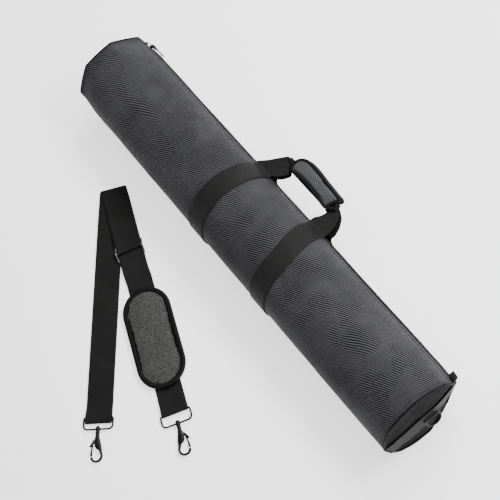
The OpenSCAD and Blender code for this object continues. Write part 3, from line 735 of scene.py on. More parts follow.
seams = Stitches("tube_seam_stitches")
SEAM_R = 73.5
for side in (1, -1):
    rim = rim_line(side, 441.5, 80.05)
    ups = [(0.0, p[1], p[2] - DROP) for p in rim]
    seams.line(np.vstack([rim, rim[:1]]), ups + ups[:1], 3.6, 2.5, 0.34)
    face = []
    for a in np.linspace(math.radians(-62), math.radians(242), 150):
        y, z = SEAM_R * math.cos(a), DROP + SEAM_R * math.sin(a)
        face.append(settle((side * (447.2 + end_height(side, y, z)), y, z)))
    seams.line(face, [(side, 0, 0)] * len(face), 3.4, 2.4, 0.32, 0.05)


# ---- zip ----

COIL_HALF, COIL_PITCH, COIL_STEPS, COIL_R = 430, 1.6, 7, 0.98


def tape_half(side):
    edge_a, edge_b = [], []
    for x in np.linspace(-437.5, 437.5, 180):
        edge_a.append(settle(zip_point(x, 77.05, side * 0.7)))
        edge_b.append(settle(zip_point(x, 76.75, side * 12.4)))
    return edge_a, edge_b


for side, half in ((1, "upper"), (-1, "lower")):
    tape = ribbon("zip_" + half + "_tape", *tape_half(side), 0.75, ZIP_TAPE)[0]
    dress(tape, "tube", "black_webbing", "zip_tape_" + half)
    path = []
    for i in range(int(2 * COIL_HALF / COIL_PITCH) * COIL_STEPS + 1):
        a, x = 2 * math.pi * i / COIL_STEPS, -COIL_HALF + COIL_PITCH * i / COIL_STEPS
        path.append(settle(zip_point(x, 78.75 + COIL_R * math.cos(a), side * (1.95 + COIL_R * math.sin(a)))))
    coil = tube_along("zip_" + half + "_teeth", path, 0.40, COIL, 5)
    dress(coil, "tube", "zip_nylon", "zip_coil_" + half)
    for row in (8.6, 10.6):
        ang = ZIP_ANGLE + side * row / TUBE_R
        xs = np.linspace(-438, 438, 260)
        line = [wall_point(x, ang, -0.05) for x in xs]
        seams.line(line, [(0, math.cos(ang), math.sin(ang))] * len(line), 3.4, 2.4, 0.33)
    for part, row, inset, end, radius in (("_hem", 7.2, 0.35, 444, 0.85), ("_welt", 17.5, 0.25, 443, 0.75)):
        line = [wall_point(x, ZIP_ANGLE + side * row / TUBE_R, inset) for x in np.linspace(-end, end, 300)]
        dress(tube_along("zip_" + half + part, line, radius, BINDING), "tube", "black_webbing")


def copy_of(node, name, material):
    """A new piece with a CAD node's mesh."""
    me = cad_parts[node].data.copy()
    me.materials.clear()
    me.materials.append(material)
    o = bpy.data.objects.new(name, me)
    bpy.context.scene.collection.objects.link(o)
    return o


def tab_lines():
    a, b = [], []
    rise = [(80.2, 1.0), (83, 1.25), (87, 1.35), (90, 1.1)]
    prof = rise + [(91.0, 0.0)] + [(out, -across) for out, across in rise[::-1]]
    for out, across in resample(relax(resample(prof, 0.5), 2), 0.7):
        lean = (out - 80) * 0.25
        a.append(settle(zip_point(431.8 + lean, out, across)))
        b.append(settle(zip_point(449.0 - lean * 0.35, out - 1.5 * (out - 80) / 11, across)))
    return a, b


tab = ribbon("zip_end_tab_webbing", *tab_lines(), 1.15, ZIP_TAPE)[0]
dress(tab, "tube", "black_webbing", "zip_end_tab")


# ---- carry webbing and handle ----

def band_x(mid, lean, out):
    return mid + lean * clamp((out - 8) / 74) ** 1.3


def band_section(side):
    """The band's line as (out, across), from the resting flat round to its short end beside the zip."""
    stop = math.degrees(FLAT_FROM - ZIP_ANGLE) + 360.0
    if side < 0:
        stop = math.degrees(-math.pi - FLAT_FROM - ZIP_ANGLE)
    angles = np.radians(np.linspace(stop, 13.6 * side, 90))
    pts = [(81.05 * math.cos(a), 81.05 * math.sin(a)) for a in angles]
    end = [(80.6, 17.2), (81.6, 14.6), (83.2, 13.1), (84.4, 12.75), (86.0, 12.75)]
    return np.array(pts + [(out, across * side) for out, across in end])


def band_edges(side, mid, lean):
    line = resample(relax(resample(band_section(side), 1.2), 6), 2.4)
    a, b = [], []
    for out, across in line:
        x = band_x(mid, lean, out)
        drift = 0.7 * fbm(out * 0.02, across * 0.02, mid * 0.1, 3.0)
        a.append(zip_point(x - BAND_HALF + drift, out, across))
        b.append(zip_point(x + BAND_HALF + drift, out, across))
    edges = np.array([a, b])
    edges[:, :, 2] = np.maximum(edges[:, :, 2], BAND_T / 2 + 0.1)
    return edges


band_stitches = Stitches("band_stitches")
for name, mid, lean in (("far", FAR_MID, FAR_LEAN), ("near", NEAR_MID, NEAR_LEAN)):
    parts = []
    for side in (1, -1):
        o, centre, across, up = ribbon("band_%s_%d" % (name, side), *band_edges(side, mid, lean), BAND_T,
                                       WEBBING, 0.25, mid)
        out_dir = np.array([[0, p[1], p[2] - DROP] for p in centre])
        sign = np.sign(np.sum(up * out_dir, axis=1))[:, None]
        keep = slice(3, len(centre) - 6)
        for w in (-BAND_HALF + 2.6, BAND_HALF - 2.6):
            line = centre + across * w + up * sign * (BAND_T / 2 + 0.02)
            band_stitches.line(line[keep], (up * sign)[keep], 3.2, 2.3, 0.30)
        parts.append(o)
    select_only(*parts)
    bpy.ops.object.join()
    band = parts[0]
    band.name = "carry_webbing_" + name
    dress(band, "tube", "black_webbing", "carry_band_" + name)


def handle_edges(side):
    """The handle webbing's two edges, from the far leg through the grip to the near leg."""
    far_x, near_x = band_x(FAR_MID, FAR_LEAN, 84), band_x(NEAR_MID, NEAR_LEAN, 84)
    outer = [(far_x - BAND_HALF, 84.4), (-79, 92), (-70.5, 101.5), (-63, 112), (-56, 121), (-51, 128.5),
             (-43, 130.5), (-35, 133), (-20, 138), (20, 142), (56, 140), (72, 136), (80, 133), (89.5, 128.5),
             (101, 120.5), (108, 106), (near_x + BAND_HALF + 1.6, 92), (near_x + BAND_HALF, 84.4)]
    inner = [(far_x + BAND_HALF, 84.4), (-37.5, 90), (-33, 95.5), (-29.5, 100.5), (-27, 104.5), (-26, 107.5),
             (-33, 115.5), (-30, 119), (-20, 121.5), (20, 122.5), (56, 121.5), (66, 120), (72, 116),
             (76.5, 111), (75.5, 104.5), (73, 97.5), (near_x - BAND_HALF + 0.8, 92),
             (near_x - BAND_HALF, 84.4)]
    apart = [12.75, 11.8, 10.4, 8.8, 7.6, 6.8, 2.6, 2.1, 1.9, 1.9, 1.9, 2.1, 2.6, 4.8, 7.2, 10.2, 11.8, 12.75]
    t, u = np.linspace(0, 1, len(apart)), np.linspace(0, 1, 120)
    edges = [relax(tween(u, t, np.column_stack([e, apart])), 4) for e in (outer, inner)]
    return [np.array([zip_point(x, out, side * across) for x, out, across in e]) for e in edges]


def crumple(o, side):
    """Gathers in the webbing where it turns into the grip."""
    for v in o.data.vertices:
        x, out, _ = from_zip(np.array(v.co) / MM)
        leg = max(math.exp(-((x + 47) / 13.0) ** 2), math.exp(-((x - 86) / 13.0) ** 2))
        high = smooth((out - 97) / 14.0)
        fold = math.sin((x - out * 0.9) * 0.42) * 0.9 + fbm(x * 0.06, out * 0.06, side, 31.0) * 1.2
        lift = side * leg * high * max(-0.3, fold)
        v.co += Vector(ZIP_UP) * lift * MM
    o.data.update()


for side, name in ((1, "front"), (-1, "back")):
    strap = ribbon("handle_webbing_" + name, *handle_edges(side), BAND_T, WEBBING, 0.2, side * 5.0)[0]
    crumple(strap, side)
    tuple(zip_point(20, FLEX_FROM, 0) * MM)
    tuple(zip_point(20, FLEX_TO, 0) * MM)
    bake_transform(strap)
    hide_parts("handle_strap_" + name)


# ---- padded grip ----

def grip_outline():
    """The grip's outline in (x, out): arched below, nearly straight above, with a tip at its near end."""
    lower = [(-31, 117), (-29.5, 115.3), (-20, 117), (4.3, 119.4), (20, 119.2), (39, 117.6), (58, 115.6),
             (67.5, 114.4), (71.5, 116)]
    upper = [(72.5, 124), (77.5, 136), (82, 143.2), (76, 144.6), (58, 145.6), (38, 146.6), (15, 148.8),
             (2.5, 149.8), (-10, 149.6), (-19, 147.6), (-26.5, 143.2), (-31.5, 136.5), (-33, 127)]
    return np.array(lower + upper + lower[:1], float)


def loop_points(outline, count, rounds=3):
    """Even points round a closed outline, a little rounded."""
    q = resample(outline, 1.0)[:-1]
    for _ in range(rounds):
        q = 0.25 * np.roll(q, 1, axis=0) + 0.5 * q + 0.25 * np.roll(q, -1, axis=0)
    q = np.vstack([q, q[:1]])
    d = distances(q)
    return tween(np.linspace(0, d[-1], count + 1)[:-1], d, q)


def slab(name, outline, centre, low, high, place, material, rings, count):
    """A closed flat pad on an outline, made of level rings, with its cloth coordinates laid flat."""
    pts = loop_points(outline, count)
    verts, uvs = [], []
    for top in (True, False):
        for i in range(rings + 1):
            share = i / rings
            for k in range(count if i else 1):
                p = centre + (pts[k] - centre) * share if i else centre
                verts.append(place(p[0], p[1], high if top else low))
                uvs.append((p[0] * MM, p[1] * MM))
    return outward(make(name, verts, disc_faces(rings, count), material, uvs))


FILL_FRAMES = 20


def inflate(o, voxel, cap):
    """Fills a pad: an even remesh, then cloth under pressure, with each point's move capped."""
    modify(o, "REMESH", mode="VOXEL", voxel_size=voxel, use_smooth_shade=True)
    rest = np.array([v.co for v in o.data.vertices])
    m = o.modifiers.new("fill", "CLOTH")
    s = m.settings
    s.quality, s.mass = 6, 0.3
    s.use_pressure, s.uniform_pressure_force = True, 4.0
    s.tension_stiffness = s.compression_stiffness = 18
    s.bending_stiffness = 1.2
    s.effector_weights.gravity = 0.0
    m.collision_settings.use_collision = False
    m.point_cache.frame_start, m.point_cache.frame_end = 1, FILL_FRAMES
    for f in range(1, FILL_FRAMES + 1):
        bpy.context.scene.frame_set(f)
    bpy.ops.object.modifier_apply(modifier="fill")
    bpy.context.scene.frame_set(1)
    move = np.array([v.co for v in o.data.vertices]) - rest
    size = np.linalg.norm(move, axis=1)
    move *= (np.minimum(size, cap * MM) / np.maximum(size, 1e-9))[:, None]
    for v, p in zip(o.data.vertices, rest + move):
        v.co = p
    o.data.update()


def flat_uvs(o, project):
    """Cloth coordinates laid on again after a remesh."""
    while o.data.uv_layers:
        o.data.uv_layers.remove(o.data.uv_layers[0])
    layer = o.data.uv_layers.new(name="cloth")
    flat = [project(np.array(v.co) / MM) for v in o.data.vertices]
    for loop in o.data.loops:
        layer.data[loop.index].uv = flat[loop.vertex_index]


def subdivide(o):
    modify(o, "SUBSURF", levels=1, render_levels=1)
    o.data.polygons.foreach_set("use_smooth", [True] * len(o.data.polygons))


GRIP_CENTRE = np.array([20.0, 130.5])
GRIP_RING = loop_points(grip_outline(), 110)
FRONT_LOW, FRONT_HIGH = 4.3, 9.4
BACK_LOW, BACK_HIGH = -9.0, -3.9


def grip_crown(x, out):
    """How close a place on the grip is to its edge: 0 at the edge, 1 well inside."""
    d = np.min(np.linalg.norm(GRIP_RING - np.array([x, out]), axis=1))
    return min(1.0, d / 11.0)


def grip_panel(name, low, high, sign, material):
    """One padded half of the grip: sign is 1 for the front and -1 for the back."""
    shrunk = GRIP_CENTRE + (grip_outline() - GRIP_CENTRE) * np.array([0.965, 0.88])
    o = slab(name, shrunk, GRIP_CENTRE, low + 0.7, high - 0.7, zip_point, material, 9, 120)
    inflate(o, 0.0026, 2.2)
    mid = (low + high) / 2
    for v in o.data.vertices:
        x, out, z = from_zip(np.array(v.co) / MM)
        inside = grip_crown(x, out)
        puff = 0.62 + 0.55 * math.sin(inside * math.pi / 2)
        wrinkle = fbm(x * 0.05, out * 0.09, sign, 41.0) * 0.7 * inside
        z = mid + (z - mid) * puff + (wrinkle if (z - mid) * sign > 0 else 0.0)
        if (z - mid) * sign < 0:
            z = mid + (z - mid) * 0.8
        z = max(low, z) if sign > 0 else min(high, z)
        v.co = Vector(zip_point(x, out, z) * MM)
    o.data.update()

    def project(p):
        x, out, across = from_zip(p)
        return x * MM, (out + (60 if (across - mid) * sign < 0 else 0)) * MM
    flat_uvs(o, project)
    subdivide(o)
    return o


def edge_binding(name, points, ups, width, thick, seed):
    """Binding tape folded round a pad's edge: a fat flat rim that follows a closed line."""
    p, u = np.array(points, float), np.array(ups, float)
    run = np.roll(p, -1, axis=0) - np.roll(p, 1, axis=0)
    run /= np.linalg.norm(run, axis=1)[:, None]
    u = u - run * np.sum(u * run, axis=1)[:, None]
    u /= np.linalg.norm(u, axis=1)[:, None]
    side = np.cross(run, u)
    ring = []
    for a in (2 * math.pi * k / 16 for k in range(16)):
        c, s = math.cos(a), math.sin(a)
        w, h = math.copysign(abs(c) ** 0.55, c), math.copysign(abs(s) ** 0.8, s)
        ring.append((w * width / 2, h * thick / 2))
    verts, uvs, length = [], [], 0.0
    for i in range(len(p)):
        length += np.linalg.norm(p[i] - p[i - 1]) if i else 0.0
        pucker = 1 + 0.06 * math.sin(length * 1.9) + 0.10 * fbm(length * 0.08, 0, 0, seed)
        for w, h in ring:
            verts.append(p[i] + side[i] * w + u[i] * h * pucker)
            uvs.append((length * MM, (w + (width if h < 0 else 0)) * MM))
    return outward(make(name, verts, tube_faces(len(p), len(ring), True), BINDING, uvs))


def bunch(name, line, radius, seed):
    """Webbing gathered into a fat, creased roll at an end of the grip, on a line of (x, out, across)."""
    path = np.array([zip_point(*p) for p in relax(resample(line, 0.8), 3)])
    o = tube_along(name, path, radius, BINDING, 20)
    up = Vector(ZIP_UP)
    middle = Vector(path[len(path) // 2] * MM)
    for v in o.data.vertices:
        x, out, across = from_zip(np.array(v.co) / MM)
        fold = math.sin((x * 0.75 + out * 0.55) * 0.9 + seed) * 0.9
        fold += fbm(x * 0.14, out * 0.14, across * 0.1, seed) * 1.6
        away = v.co - middle
        v.co += (up * math.copysign(1.0, away.dot(up)) + away.normalized()) * fold * 0.5 * MM
    o.data.update()
    dress(o, "handle", "black_webbing")


bunch("handle_near_bunch", [(71.5, 115.5, 4.0), (78, 120, 5.6), (85, 127, 5.6), (82.5, 134, 4.0)], 4.9, 1.0)
bunch("handle_far_bunch", [(-46, 126.5, 1.0), (-40, 124, 1.4), (-35, 122.5, 1.4), (-30, 122, 1.0)], 6.2, 2.0)


flap = grip_panel("grip_front_flap", FRONT_LOW, FRONT_HIGH, 1, GRIP_CLOTH)
dress(flap, "grip_flap", "grip_cloth", "grip_flap")
wrap = grip_panel("grip_back_wrap", BACK_LOW, BACK_HIGH, -1, GRIP_CLOTH)
dress(wrap, "handle", "grip_cloth", "grip_wrap")

for body, title, z, sign in (("grip_flap", "grip_flap", 6.6, 1), ("handle", "grip_wrap", -6.2, -1)):
    outline = GRIP_CENTRE + (loop_points(grip_outline(), 200, 6) - GRIP_CENTRE) * np.array([0.975, 0.925])
    ups = [np.array(ZIP_UP) * sign] * (len(outline) + 1)
    line = [zip_point(x, out, z) for x, out in outline]
    rim = edge_binding("grip_" + body + "_binding", line, ups[1:], 6.2, 4.6, sign)
    dress(rim, body, "black_piping")
    inner = GRIP_CENTRE + (outline - GRIP_CENTRE) * np.array([0.985, 0.95])
    path = [zip_point(x, out, z + sign * 2.02) for x, out in inner]
    work = Stitches(title + "_stitches")
    work.line(path + path[:1], ups, 2.9, 2.1, 0.28, 0.05)
    dress(work.done(), body, "black_piping")

spine_line = [(145.0 + 1.1 * math.cos((z + 1.2) / 5.2 * math.pi / 2), z) for z in np.linspace(-6.4, 3.9, 14)]
spine = ribbon("grip_outer_fold", [zip_point(-22, out + 1.6, z) for out, z in spine_line],
               [zip_point(70, out - 0.6, z) for out, z in spine_line], 1.3, GRIP_CLOTH, 0.15, 51.0)[0]
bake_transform(spine)

for node, body in (("grip_hook_tape", "grip_flap"), ("grip_loop_tape", "handle")):
    dress(copy_of(node, node + "_nap", TOUCH), body, "touch_tape", node)


# ---- end webbing and ring keepers ----

end_stitches = Stitches("end_stitches")
for side, end in ((1, "near"), (-1, "far")):
    ys = np.linspace(-77, 77, 80)
    edges = []
    for w in (END_WEB_Z - 19, END_WEB_Z + 19):
        edge = []
        for y in ys:
            hug = 449.1 - 1.3 * smooth((abs(y) - 66) / 10)
            lift = end_height(side, y, DROP + w) * 0.8 + 0.25 - ring_press(y, DROP + w)
            edge.append(settle((side * (hug + max(-1.3, lift) * smooth((78 - abs(y)) / 12)), y, DROP + w)))
        edges.append(edge)
    strip, centre, across, up = ribbon(end + "_end_strip", *edges, 1.45, WEBBING, 0.25, side * 7.0)
    dress(strip, "tube", "black_webbing", end + "_end_webbing")
    up = up * np.sign(up[:, 0] * side)[:, None]
    for w in (-16.6, 16.6):
        end_stitches.line(centre + across * w + up * 0.76, up, 3.2, 2.3, 0.3)
    for y0 in (-3.5, 29.5):
        i = int(np.argmin(np.abs(ys - y0)))
        end_stitches.line([centre[i] + across[i] * z + up[i] * 0.76 for z in np.linspace(-12, 12, 20)],
                          [up[i]] * 20, 3.0, 2.2, 0.3)
    bar_x, keeper_x = 451.5, 449.9
    rise = [(keeper_x, 10.0), (keeper_x, 5.5), (bar_x + 0.4, 2.7), (bar_x + 2.3, 1.2)]
    prof = resample(relax(resample(rise + [(x, -z) for x, z in rise[::-1]], 0.4), 2), 0.7)
    edges = [[np.array([side * x, y, DROP + END_WEB_Z + z]) for x, z in prof] for y in (3.2, 22.8)]
    keeper = ribbon(end + "_ring_tunnel", *edges, 0.95, WEBBING)[0]
    dress(keeper, "tube", "black_webbing", end + "_ring_keeper")
dress(end_stitches.done(), "tube", "black_webbing")
dress(seams.done(), "tube", "black_piping")
dress(band_stitches.done(), "tube", "black_webbing")


# ---- shoulder strap ----

def strap_path():
    """The strap's runs as (along, height), from its end at the padded leg's ring to its adjuster end."""
    loop = [(2.53 * math.sin(a), 2.53 * math.cos(a)) for a in np.linspace(0, math.pi, 13)]
    right = [(425.5, 3.55), (432, 3.6), (441, 3.75), (449, 5.6)]
    right += [(RIGHT_LEN + x, BAR_Z + z) for x, z in loop]
    right += [(449, 1.85), (439.5, 1.85), (330, 1.85), (240, 1.85), (199, 1.85), (193, 2.6), (178, 7.0),
              (172, 7.35), (140, 7.35), (98, 7.35), (90, 7.1), (36, 4.6), (28, 4.35), (2.5, 4.35)]
    inner = [(2.4 - 0.95 * math.sin(a), 3.4 + 0.95 * math.cos(a)) for a in np.linspace(0, math.pi, 9)]
    slack = [(-6, 1.7), (0, 2.55), (5, 2.5), (9.2, 1.7), (11.0, 0.2), (10.0, -1.4), (6, -2.4), (0, -2.75),
             (-6, -3.1)]
    left = [(2.5, 2.45), (60, 2.45), (200, 2.45), (400, 2.45), (417, 2.6), (424, 4.4)]
    left += [(LEFT_LEN + x, BAR_Z + z) for x, z in slack]
    left += [(424, 0.9), (417, 0.75), (300, 0.75), (100, 0.75), (2.5, 0.75)]
    outer = [(3.4 - 2.65 * math.sin(a), 3.4 - 2.65 * math.cos(a)) for a in np.linspace(0, math.pi, 11)]
    back = [(2.5, 6.05), (28, 6.05), (36, 6.3), (90, 8.8), (98, 9.05), (126.2, 9.05)]
    return right, inner, left, outer, back


def fold_edges():
    """The strap's two edge lines through all its runs."""
    right, inner, left, outer, back = strap_path()
    bis = (LEFT_DIR + RIGHT_DIR) / 2
    b = np.array([math.cos(bis), math.sin(bis)])
    edges = []
    for e in (-STRAP_W / 2, STRAP_W / 2):
        pts = []

        def leg(points, is_left):
            for along, up in points:
                trim = max(0.0, 1.0 - along / 30.0) if along < 30 else 0.0
                p = leg_point(is_left, along, e, up)
                if trim:
                    off = (p[:2] - FOLD) @ b - along
                    p[:2] -= b * off * trim
                pts.append(p)

        def turn(points):
            m = np.array([-b[1], b[0]])
            for along, up in points:
                share = (up - 0.75) / 5.3
                shift = RIGHT_SHIFT * share
                q = FOLD + b * along + m * (e + shift)
                pts.append(np.array([q[0], q[1], up]))
        leg(right, False)
        turn(inner)
        leg(left, True)
        turn(outer)
        leg(back, False)
        edges.append(np.array(pts))
    return edges


def paired(a, b, step, rounds):
    """Both edge lines cut at the same even steps of their middle line and relaxed, and that line's length."""
    d = distances((a + b) / 2)
    t = np.linspace(0, d[-1], int(d[-1] / step) + 1)
    return relax(tween(t, d, a), rounds), relax(tween(t, d, b), rounds), d[-1]


edge_a, edge_b, strap_length = paired(*fold_edges(), 0.8, 2)
strap = ribbon("shoulder_webbing", edge_a, edge_b, BAND_T - 0.1, WEBBING, 0.10, 61.0)[0]
dress(strap, "shoulder_strap", "black_webbing", "strap_left_leg", "strap_right_leg", "strap_fold")


def cross_stitches(name, body, rows, half_w, z):
    """Rows of stitches across the padded leg's webbing."""
    work = Stitches(name)
    for x in rows:
        line = [leg_point(False, x, y, z) for y in np.linspace(-half_w, half_w, 24)]
        work.line(line, [(0, 0, 1)] * 24, 3.0, 2.2, 0.3)
    dress(work.done(), body, "black_webbing")


cross_stitches("strap_stitches", "shoulder_strap", (427.5, 438.5), 21.5, 4.34)

tail = [(101.5, 10.9), (112, 10.9), (124, 10.9), (129, 11.6)]
tail += [(135 + 2.3 * math.sin(a), 11.38 + 2.3 * math.cos(a)) for a in np.linspace(0, math.pi, 11)]
tail += [(131, 9.15), (128.4, 9.05)]
tail = relax(resample(tail, 0.7), 2)
edges = [np.array([leg_point(False, s, e, z) for s, z in tail]) for e in (-24.4, 24.4)]
tail_o = ribbon("strap_tail_webbing", edges[0], edges[1], 1.35, WEBBING, 0.08, 71.0)[0]
dress(tail_o, "adjuster", "black_webbing", "strap_tail_loop")
cross_stitches("tail_stitches", "adjuster", (104.0, 125.0), 21.0, 11.62)


# ---- shoulder pad ----

def pad_outline_points(inset):
    r = PAD_W / 2 - inset
    half = (PAD_LEN - PAD_W) / 2
    turn = np.linspace(-math.pi / 2, math.pi / 2, 30)
    pts = [(half + r * math.cos(a), r * math.sin(a)) for a in turn]
    pts += [(-half - r * math.cos(a), -r * math.sin(a)) for a in turn]
    return np.vstack([pts, pts[:1]])


def pad_edge_distance(x, y):
    half, r = (PAD_LEN - PAD_W) / 2, PAD_W / 2
    return r - math.hypot(max(0.0, abs(x) - half), y)


def to_pad(p):
    """(along, across, height) of a point in the pad's own frame."""
    a = RIGHT_DIR
    d, n = np.array([math.cos(a), math.sin(a)]), np.array([-math.sin(a), math.cos(a)])
    q = np.array(p[:2]) - FOLD - n * RIGHT_SHIFT
    return q @ d - PAD_AT, q @ n, p[2]


def pad_place(x, y, z):
    return leg_point(False, PAD_AT + x, y, z)


def pad_cloth_place(p):
    x, y, z = to_pad(p)
    return x * MM, (y + (150 if z < 6.5 else 0)) * MM


PAD_LOW = PAD_Z + 0.9
cover = slab("pad_soft_cover", pad_outline_points(5.2), np.zeros(2), PAD_LOW + 1.2, PAD_TOP - 2.2, pad_place,
             PAD_CLOTH, 12, 160)
inflate(cover, 0.0045, 5.0)
for v in cover.data.vertices:
    x, y, z = to_pad(np.array(v.co) / MM)
    edge = pad_edge_distance(x, y)
    crown = math.sin(clamp((edge - 4.0) / 34.0) * math.pi / 2)
    if z > (PAD_LOW + PAD_TOP) / 2:
        dimple = fbm(x * 0.022, y * 0.03, 0.0, 81.0) * 0.7 * crown
        z = 8.3 + 4.3 * crown + dimple + (0.10 * (z - PAD_TOP))
    else:
        z = max(PAD_LOW, PAD_LOW + (1 - crown) * 1.6)
    v.co = Vector(pad_place(x, y, z) * MM)
cover.data.update()
flat_uvs(cover, pad_cloth_place)
foam_core = cover.copy()
foam_core.data = cover.data.copy()
foam_core.name = "pad_foam_core"
foam_core.data.materials[0] = FOAM
bpy.context.scene.collection.objects.link(foam_core)
for v in foam_core.data.vertices:
    v.co -= v.normal * 0.9 * MM
foam_core.data.update()
subdivide(cover)
dress(cover, "shoulder_pad", "oxford_cloth", "pad_cover")
dress(foam_core, "shoulder_pad", "foam", "pad_foam")

backing = slab("pad_back_cloth", pad_outline_points(5.2), np.zeros(2), PAD_Z, PAD_Z + 0.8, pad_place,
               LINING, 4, 120)
dress(backing, "shoulder_pad", "lining_cloth", "pad_backing")

rim = [pad_place(x, y, 7.0) for x, y in loop_points(pad_outline_points(4.9), 260, 1)]
rim_o = edge_binding("pad_rim_binding", rim, [(0, 0, 1)] * len(rim), 9.6, 7.6, 91.0)
for v in rim_o.data.vertices:
    v.co.z = max(v.co.z, (PAD_Z + 0.1) * MM)
dress(rim_o, "shoulder_pad", "black_piping", "pad_binding")

pad_stitches = Stitches("pad_stitches")
for inset, z in ((7.9, 10.05), (2.6, 10.0)):
    ring = loop_points(pad_outline_points(inset), 240, 1)
    line = [pad_place(x, y, z) for x, y in ring]
    pad_stitches.line(line + line[:1], [(0, 0, 1)] * (len(line) + 1), 3.1, 2.2, 0.32, 0.05)
dress(pad_stitches.done(), "shoulder_pad", "black_piping")


def channel():
    """The pad's back channel: a flat cloth tube for the strap, sewn to the backing at its sides."""
    rise = [(29.5, 2.75), (26.4, 2.7), (26.0, 2.1), (25.9, 1.3), (25.4, 0.55), (20, 0.45)]
    prof = relax(resample(rise + [(0, 0.45)] + [(-y, z) for y, z in rise[::-1]], 0.8), 2)
    return [[pad_place(x, y, z) for y, z in prof] for x in (-60, 60)]


sleeve = ribbon("pad_back_channel", *channel(), 0.7, LINING)[0]
dress(sleeve, "shoulder_pad", "lining_cloth", "pad_sleeve")


# ---- swivel hooks and their gates ----

RING_DEPTH = 21.0
EYE_X, EYE_R = 68.6, 10.0
PIVOT = (41.0, -6.2)


def fitting_point(left, x, y, z):
    """A point in a strap fitting's frame: x from the ring's bar to the hook's tip, the gate below y = 0."""
    return leg_point(left, (LEFT_LEN if left else RIGHT_LEN) + x, y if left else -y, BAR_Z + z)


def cast_metal(name, left, lines, voxel, rounds):
    """A cast piece: ellipsoids on lines of (x, y, z, their three half sizes), fused and smoothed."""
    verts, faces = [], []
    turn = [(math.cos(2 * math.pi * k / 12), math.sin(2 * math.pi * k / 12)) for k in range(12)]
    for line in lines:
        for x, y, z, a, b, c in resample(line, 0.45):
            base = len(verts)
            verts.append(fitting_point(left, x, y, z - c))
            for i in range(1, 8):
                tilt = math.pi * i / 8 - math.pi / 2
                verts += [fitting_point(left, x + a * math.cos(tilt) * p, y + b * math.cos(tilt) * q,
                                        z + c * math.sin(tilt)) for p, q in turn]
            verts.append(fitting_point(left, x, y, z + c))
            for k in range(12):
                l = (k + 1) % 12
                faces.append((base, base + 1 + l, base + 1 + k))
                for i in range(6):
                    r = base + 1 + i * 12
                    faces.append((r + k, r + l, r + 12 + l, r + 12 + k))
                faces.append((base + 85, base + 73 + k, base + 73 + l))
    o = outward(make(name, verts, faces, GUNMETAL))
    modify(o, "REMESH", mode="VOXEL", voxel_size=voxel * MM, use_smooth_shade=True)
    modify(o, "SMOOTH", factor=0.5, iterations=rounds)
    return o


def slot_cut(o, left, x0, x1, y0, y1, half_z):
    """Cuts a straight slot through a cast piece."""
    corners = [fitting_point(left, x, y, z) for x in (x0, x1) for y in (y0, y1) for z in (-half_z, half_z)]
    sides = [(0, 1, 3, 2), (4, 6, 7, 5), (0, 4, 5, 1), (2, 3, 7, 6), (0, 2, 6, 4), (1, 5, 7, 3)]
    tool = outward(make("slot_tool", corners, sides, GUNMETAL, flat=True))
    modify(o, "BOOLEAN", operation="DIFFERENCE", object=tool, solver="EXACT")
    bpy.data.objects.remove(tool, do_unlink=True)


def eye_line(start, stop, in_plane, thick):
    """The round eye's wire between two angles, tapering towards its nose."""
    out = []
    for t in np.linspace(0, 1, 40):
        a = math.radians(start + (stop - start) * t)
        w, h = (low + (high - low) * t for low, high in (in_plane, thick))
        out.append((EYE_X + EYE_R * math.cos(a), EYE_R * math.sin(a), 0.0, w, w, h))
    return out


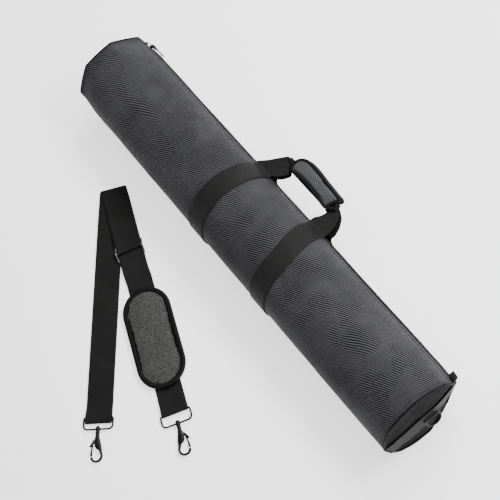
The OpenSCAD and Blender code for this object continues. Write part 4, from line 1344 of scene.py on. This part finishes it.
for left, name in ((True, "left"), (False, "right")):
    shank = [(RING_DEPTH - 5.0, 0, 0, 1.0, 3.1, 3.1), (RING_DEPTH - 4.6, 0, 0, 1.0, 3.1, 3.1)]
    pin = [(RING_DEPTH - 5.0, 0, 0, 1.8, 1.8, 1.8), (27.0, 0, 0, 1.8, 1.8, 1.8)]
    collar = [(26.1, 0, 0, 1.1, 4.1, 4.1), (28.4, 0, 0, 1.1, 4.1, 4.1)]
    stem = [(28.5, 0, 0, 1.7, 3.3, 3.3), (35, 0, 0, 1.7, 4.4, 3.5), (45, 0.6, 0, 1.7, 6.6, 3.6),
            (52, 2.2, 0, 1.7, 7.2, 3.5), (55.5, 3.8, 0, 1.6, 5.8, 3.2)]
    spur = [(55.0, 4.6, 0, 1.6, 5.2, 3.2), (59.0, 7.0, 0, 1.8, 3.2, 3.1), (62.5, 8.1, 0, 1.9, 2.7, 3.0)]
    eye = eye_line(128, -66, (2.5, 2.2), (3.0, 2.6))
    nose = [eye[-1], (eye[-1][0] - 0.4, eye[-1][1] + 0.2, 0, 2.6, 2.6, 2.8)]
    hook = cast_metal(name + "_cast_hook", left, [shank, pin, collar, stem, spur, eye, nose], 0.55, 5)
    slot_cut(hook, left, 34.0, 46.0, -20.0, -3.4, 1.6)
    slot_cut(hook, left, 45.5, 63.0, -20.0, -1.0, 1.85)
    dress(hook, name + "_hook", "gunmetal", name + "_hook")
    lug = [(PIVOT[0], PIVOT[1], -0.6, 2.3, 2.3, 0.85), (45.0, -6.9, -0.6, 1.7, 1.7, 0.85)]
    arm = [(45.0, -7.0, -0.3, 1.5, 1.5, 1.0), (52.0, -8.6, 0, 1.5, 1.5, 1.4), (59.0, -9.6, 0, 1.6, 1.6, 1.4),
           (62.5, -9.8, 0, 2.0, 2.0, 2.2), (67.6, -10.0, 0, 2.1, 2.1, 2.4)]
    lever = [(42.5, -7.6, 0, 1.3, 1.3, 1.2), (46.0, -9.4, 0, 1.3, 1.3, 1.3), (49.0, -11.2, 0, 1.3, 1.3, 2.4),
             (51.5, -13.0, 0, 1.3, 1.3, 3.2)]
    web = [(48.0, -8.6, 0, 1.4, 1.4, 1.3), (51.5, -10.6, 0, 1.4, 2.0, 1.4)]
    gate = cast_metal(name + "_cast_gate", left, [lug, arm, lever, web], 0.42, 4)
    dress(gate, name + "_gate", "gunmetal", name + "_gate")


# ---- finishes for the hard pieces that keep their CAD shape ----

def refinish(node, material):
    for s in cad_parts[node].material_slots:
        s.material = material


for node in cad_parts:
    if any(k in node for k in ("swivel_ring", "end_ring", "zip_slider", "zip_pull", "zip_stops")):
        if not node.startswith("grip"):
            refinish(node, GUNMETAL)
    if node == "strap_adjuster" or node.endswith("_pin") or node.endswith("_spring"):
        refinish(node, STEEL)
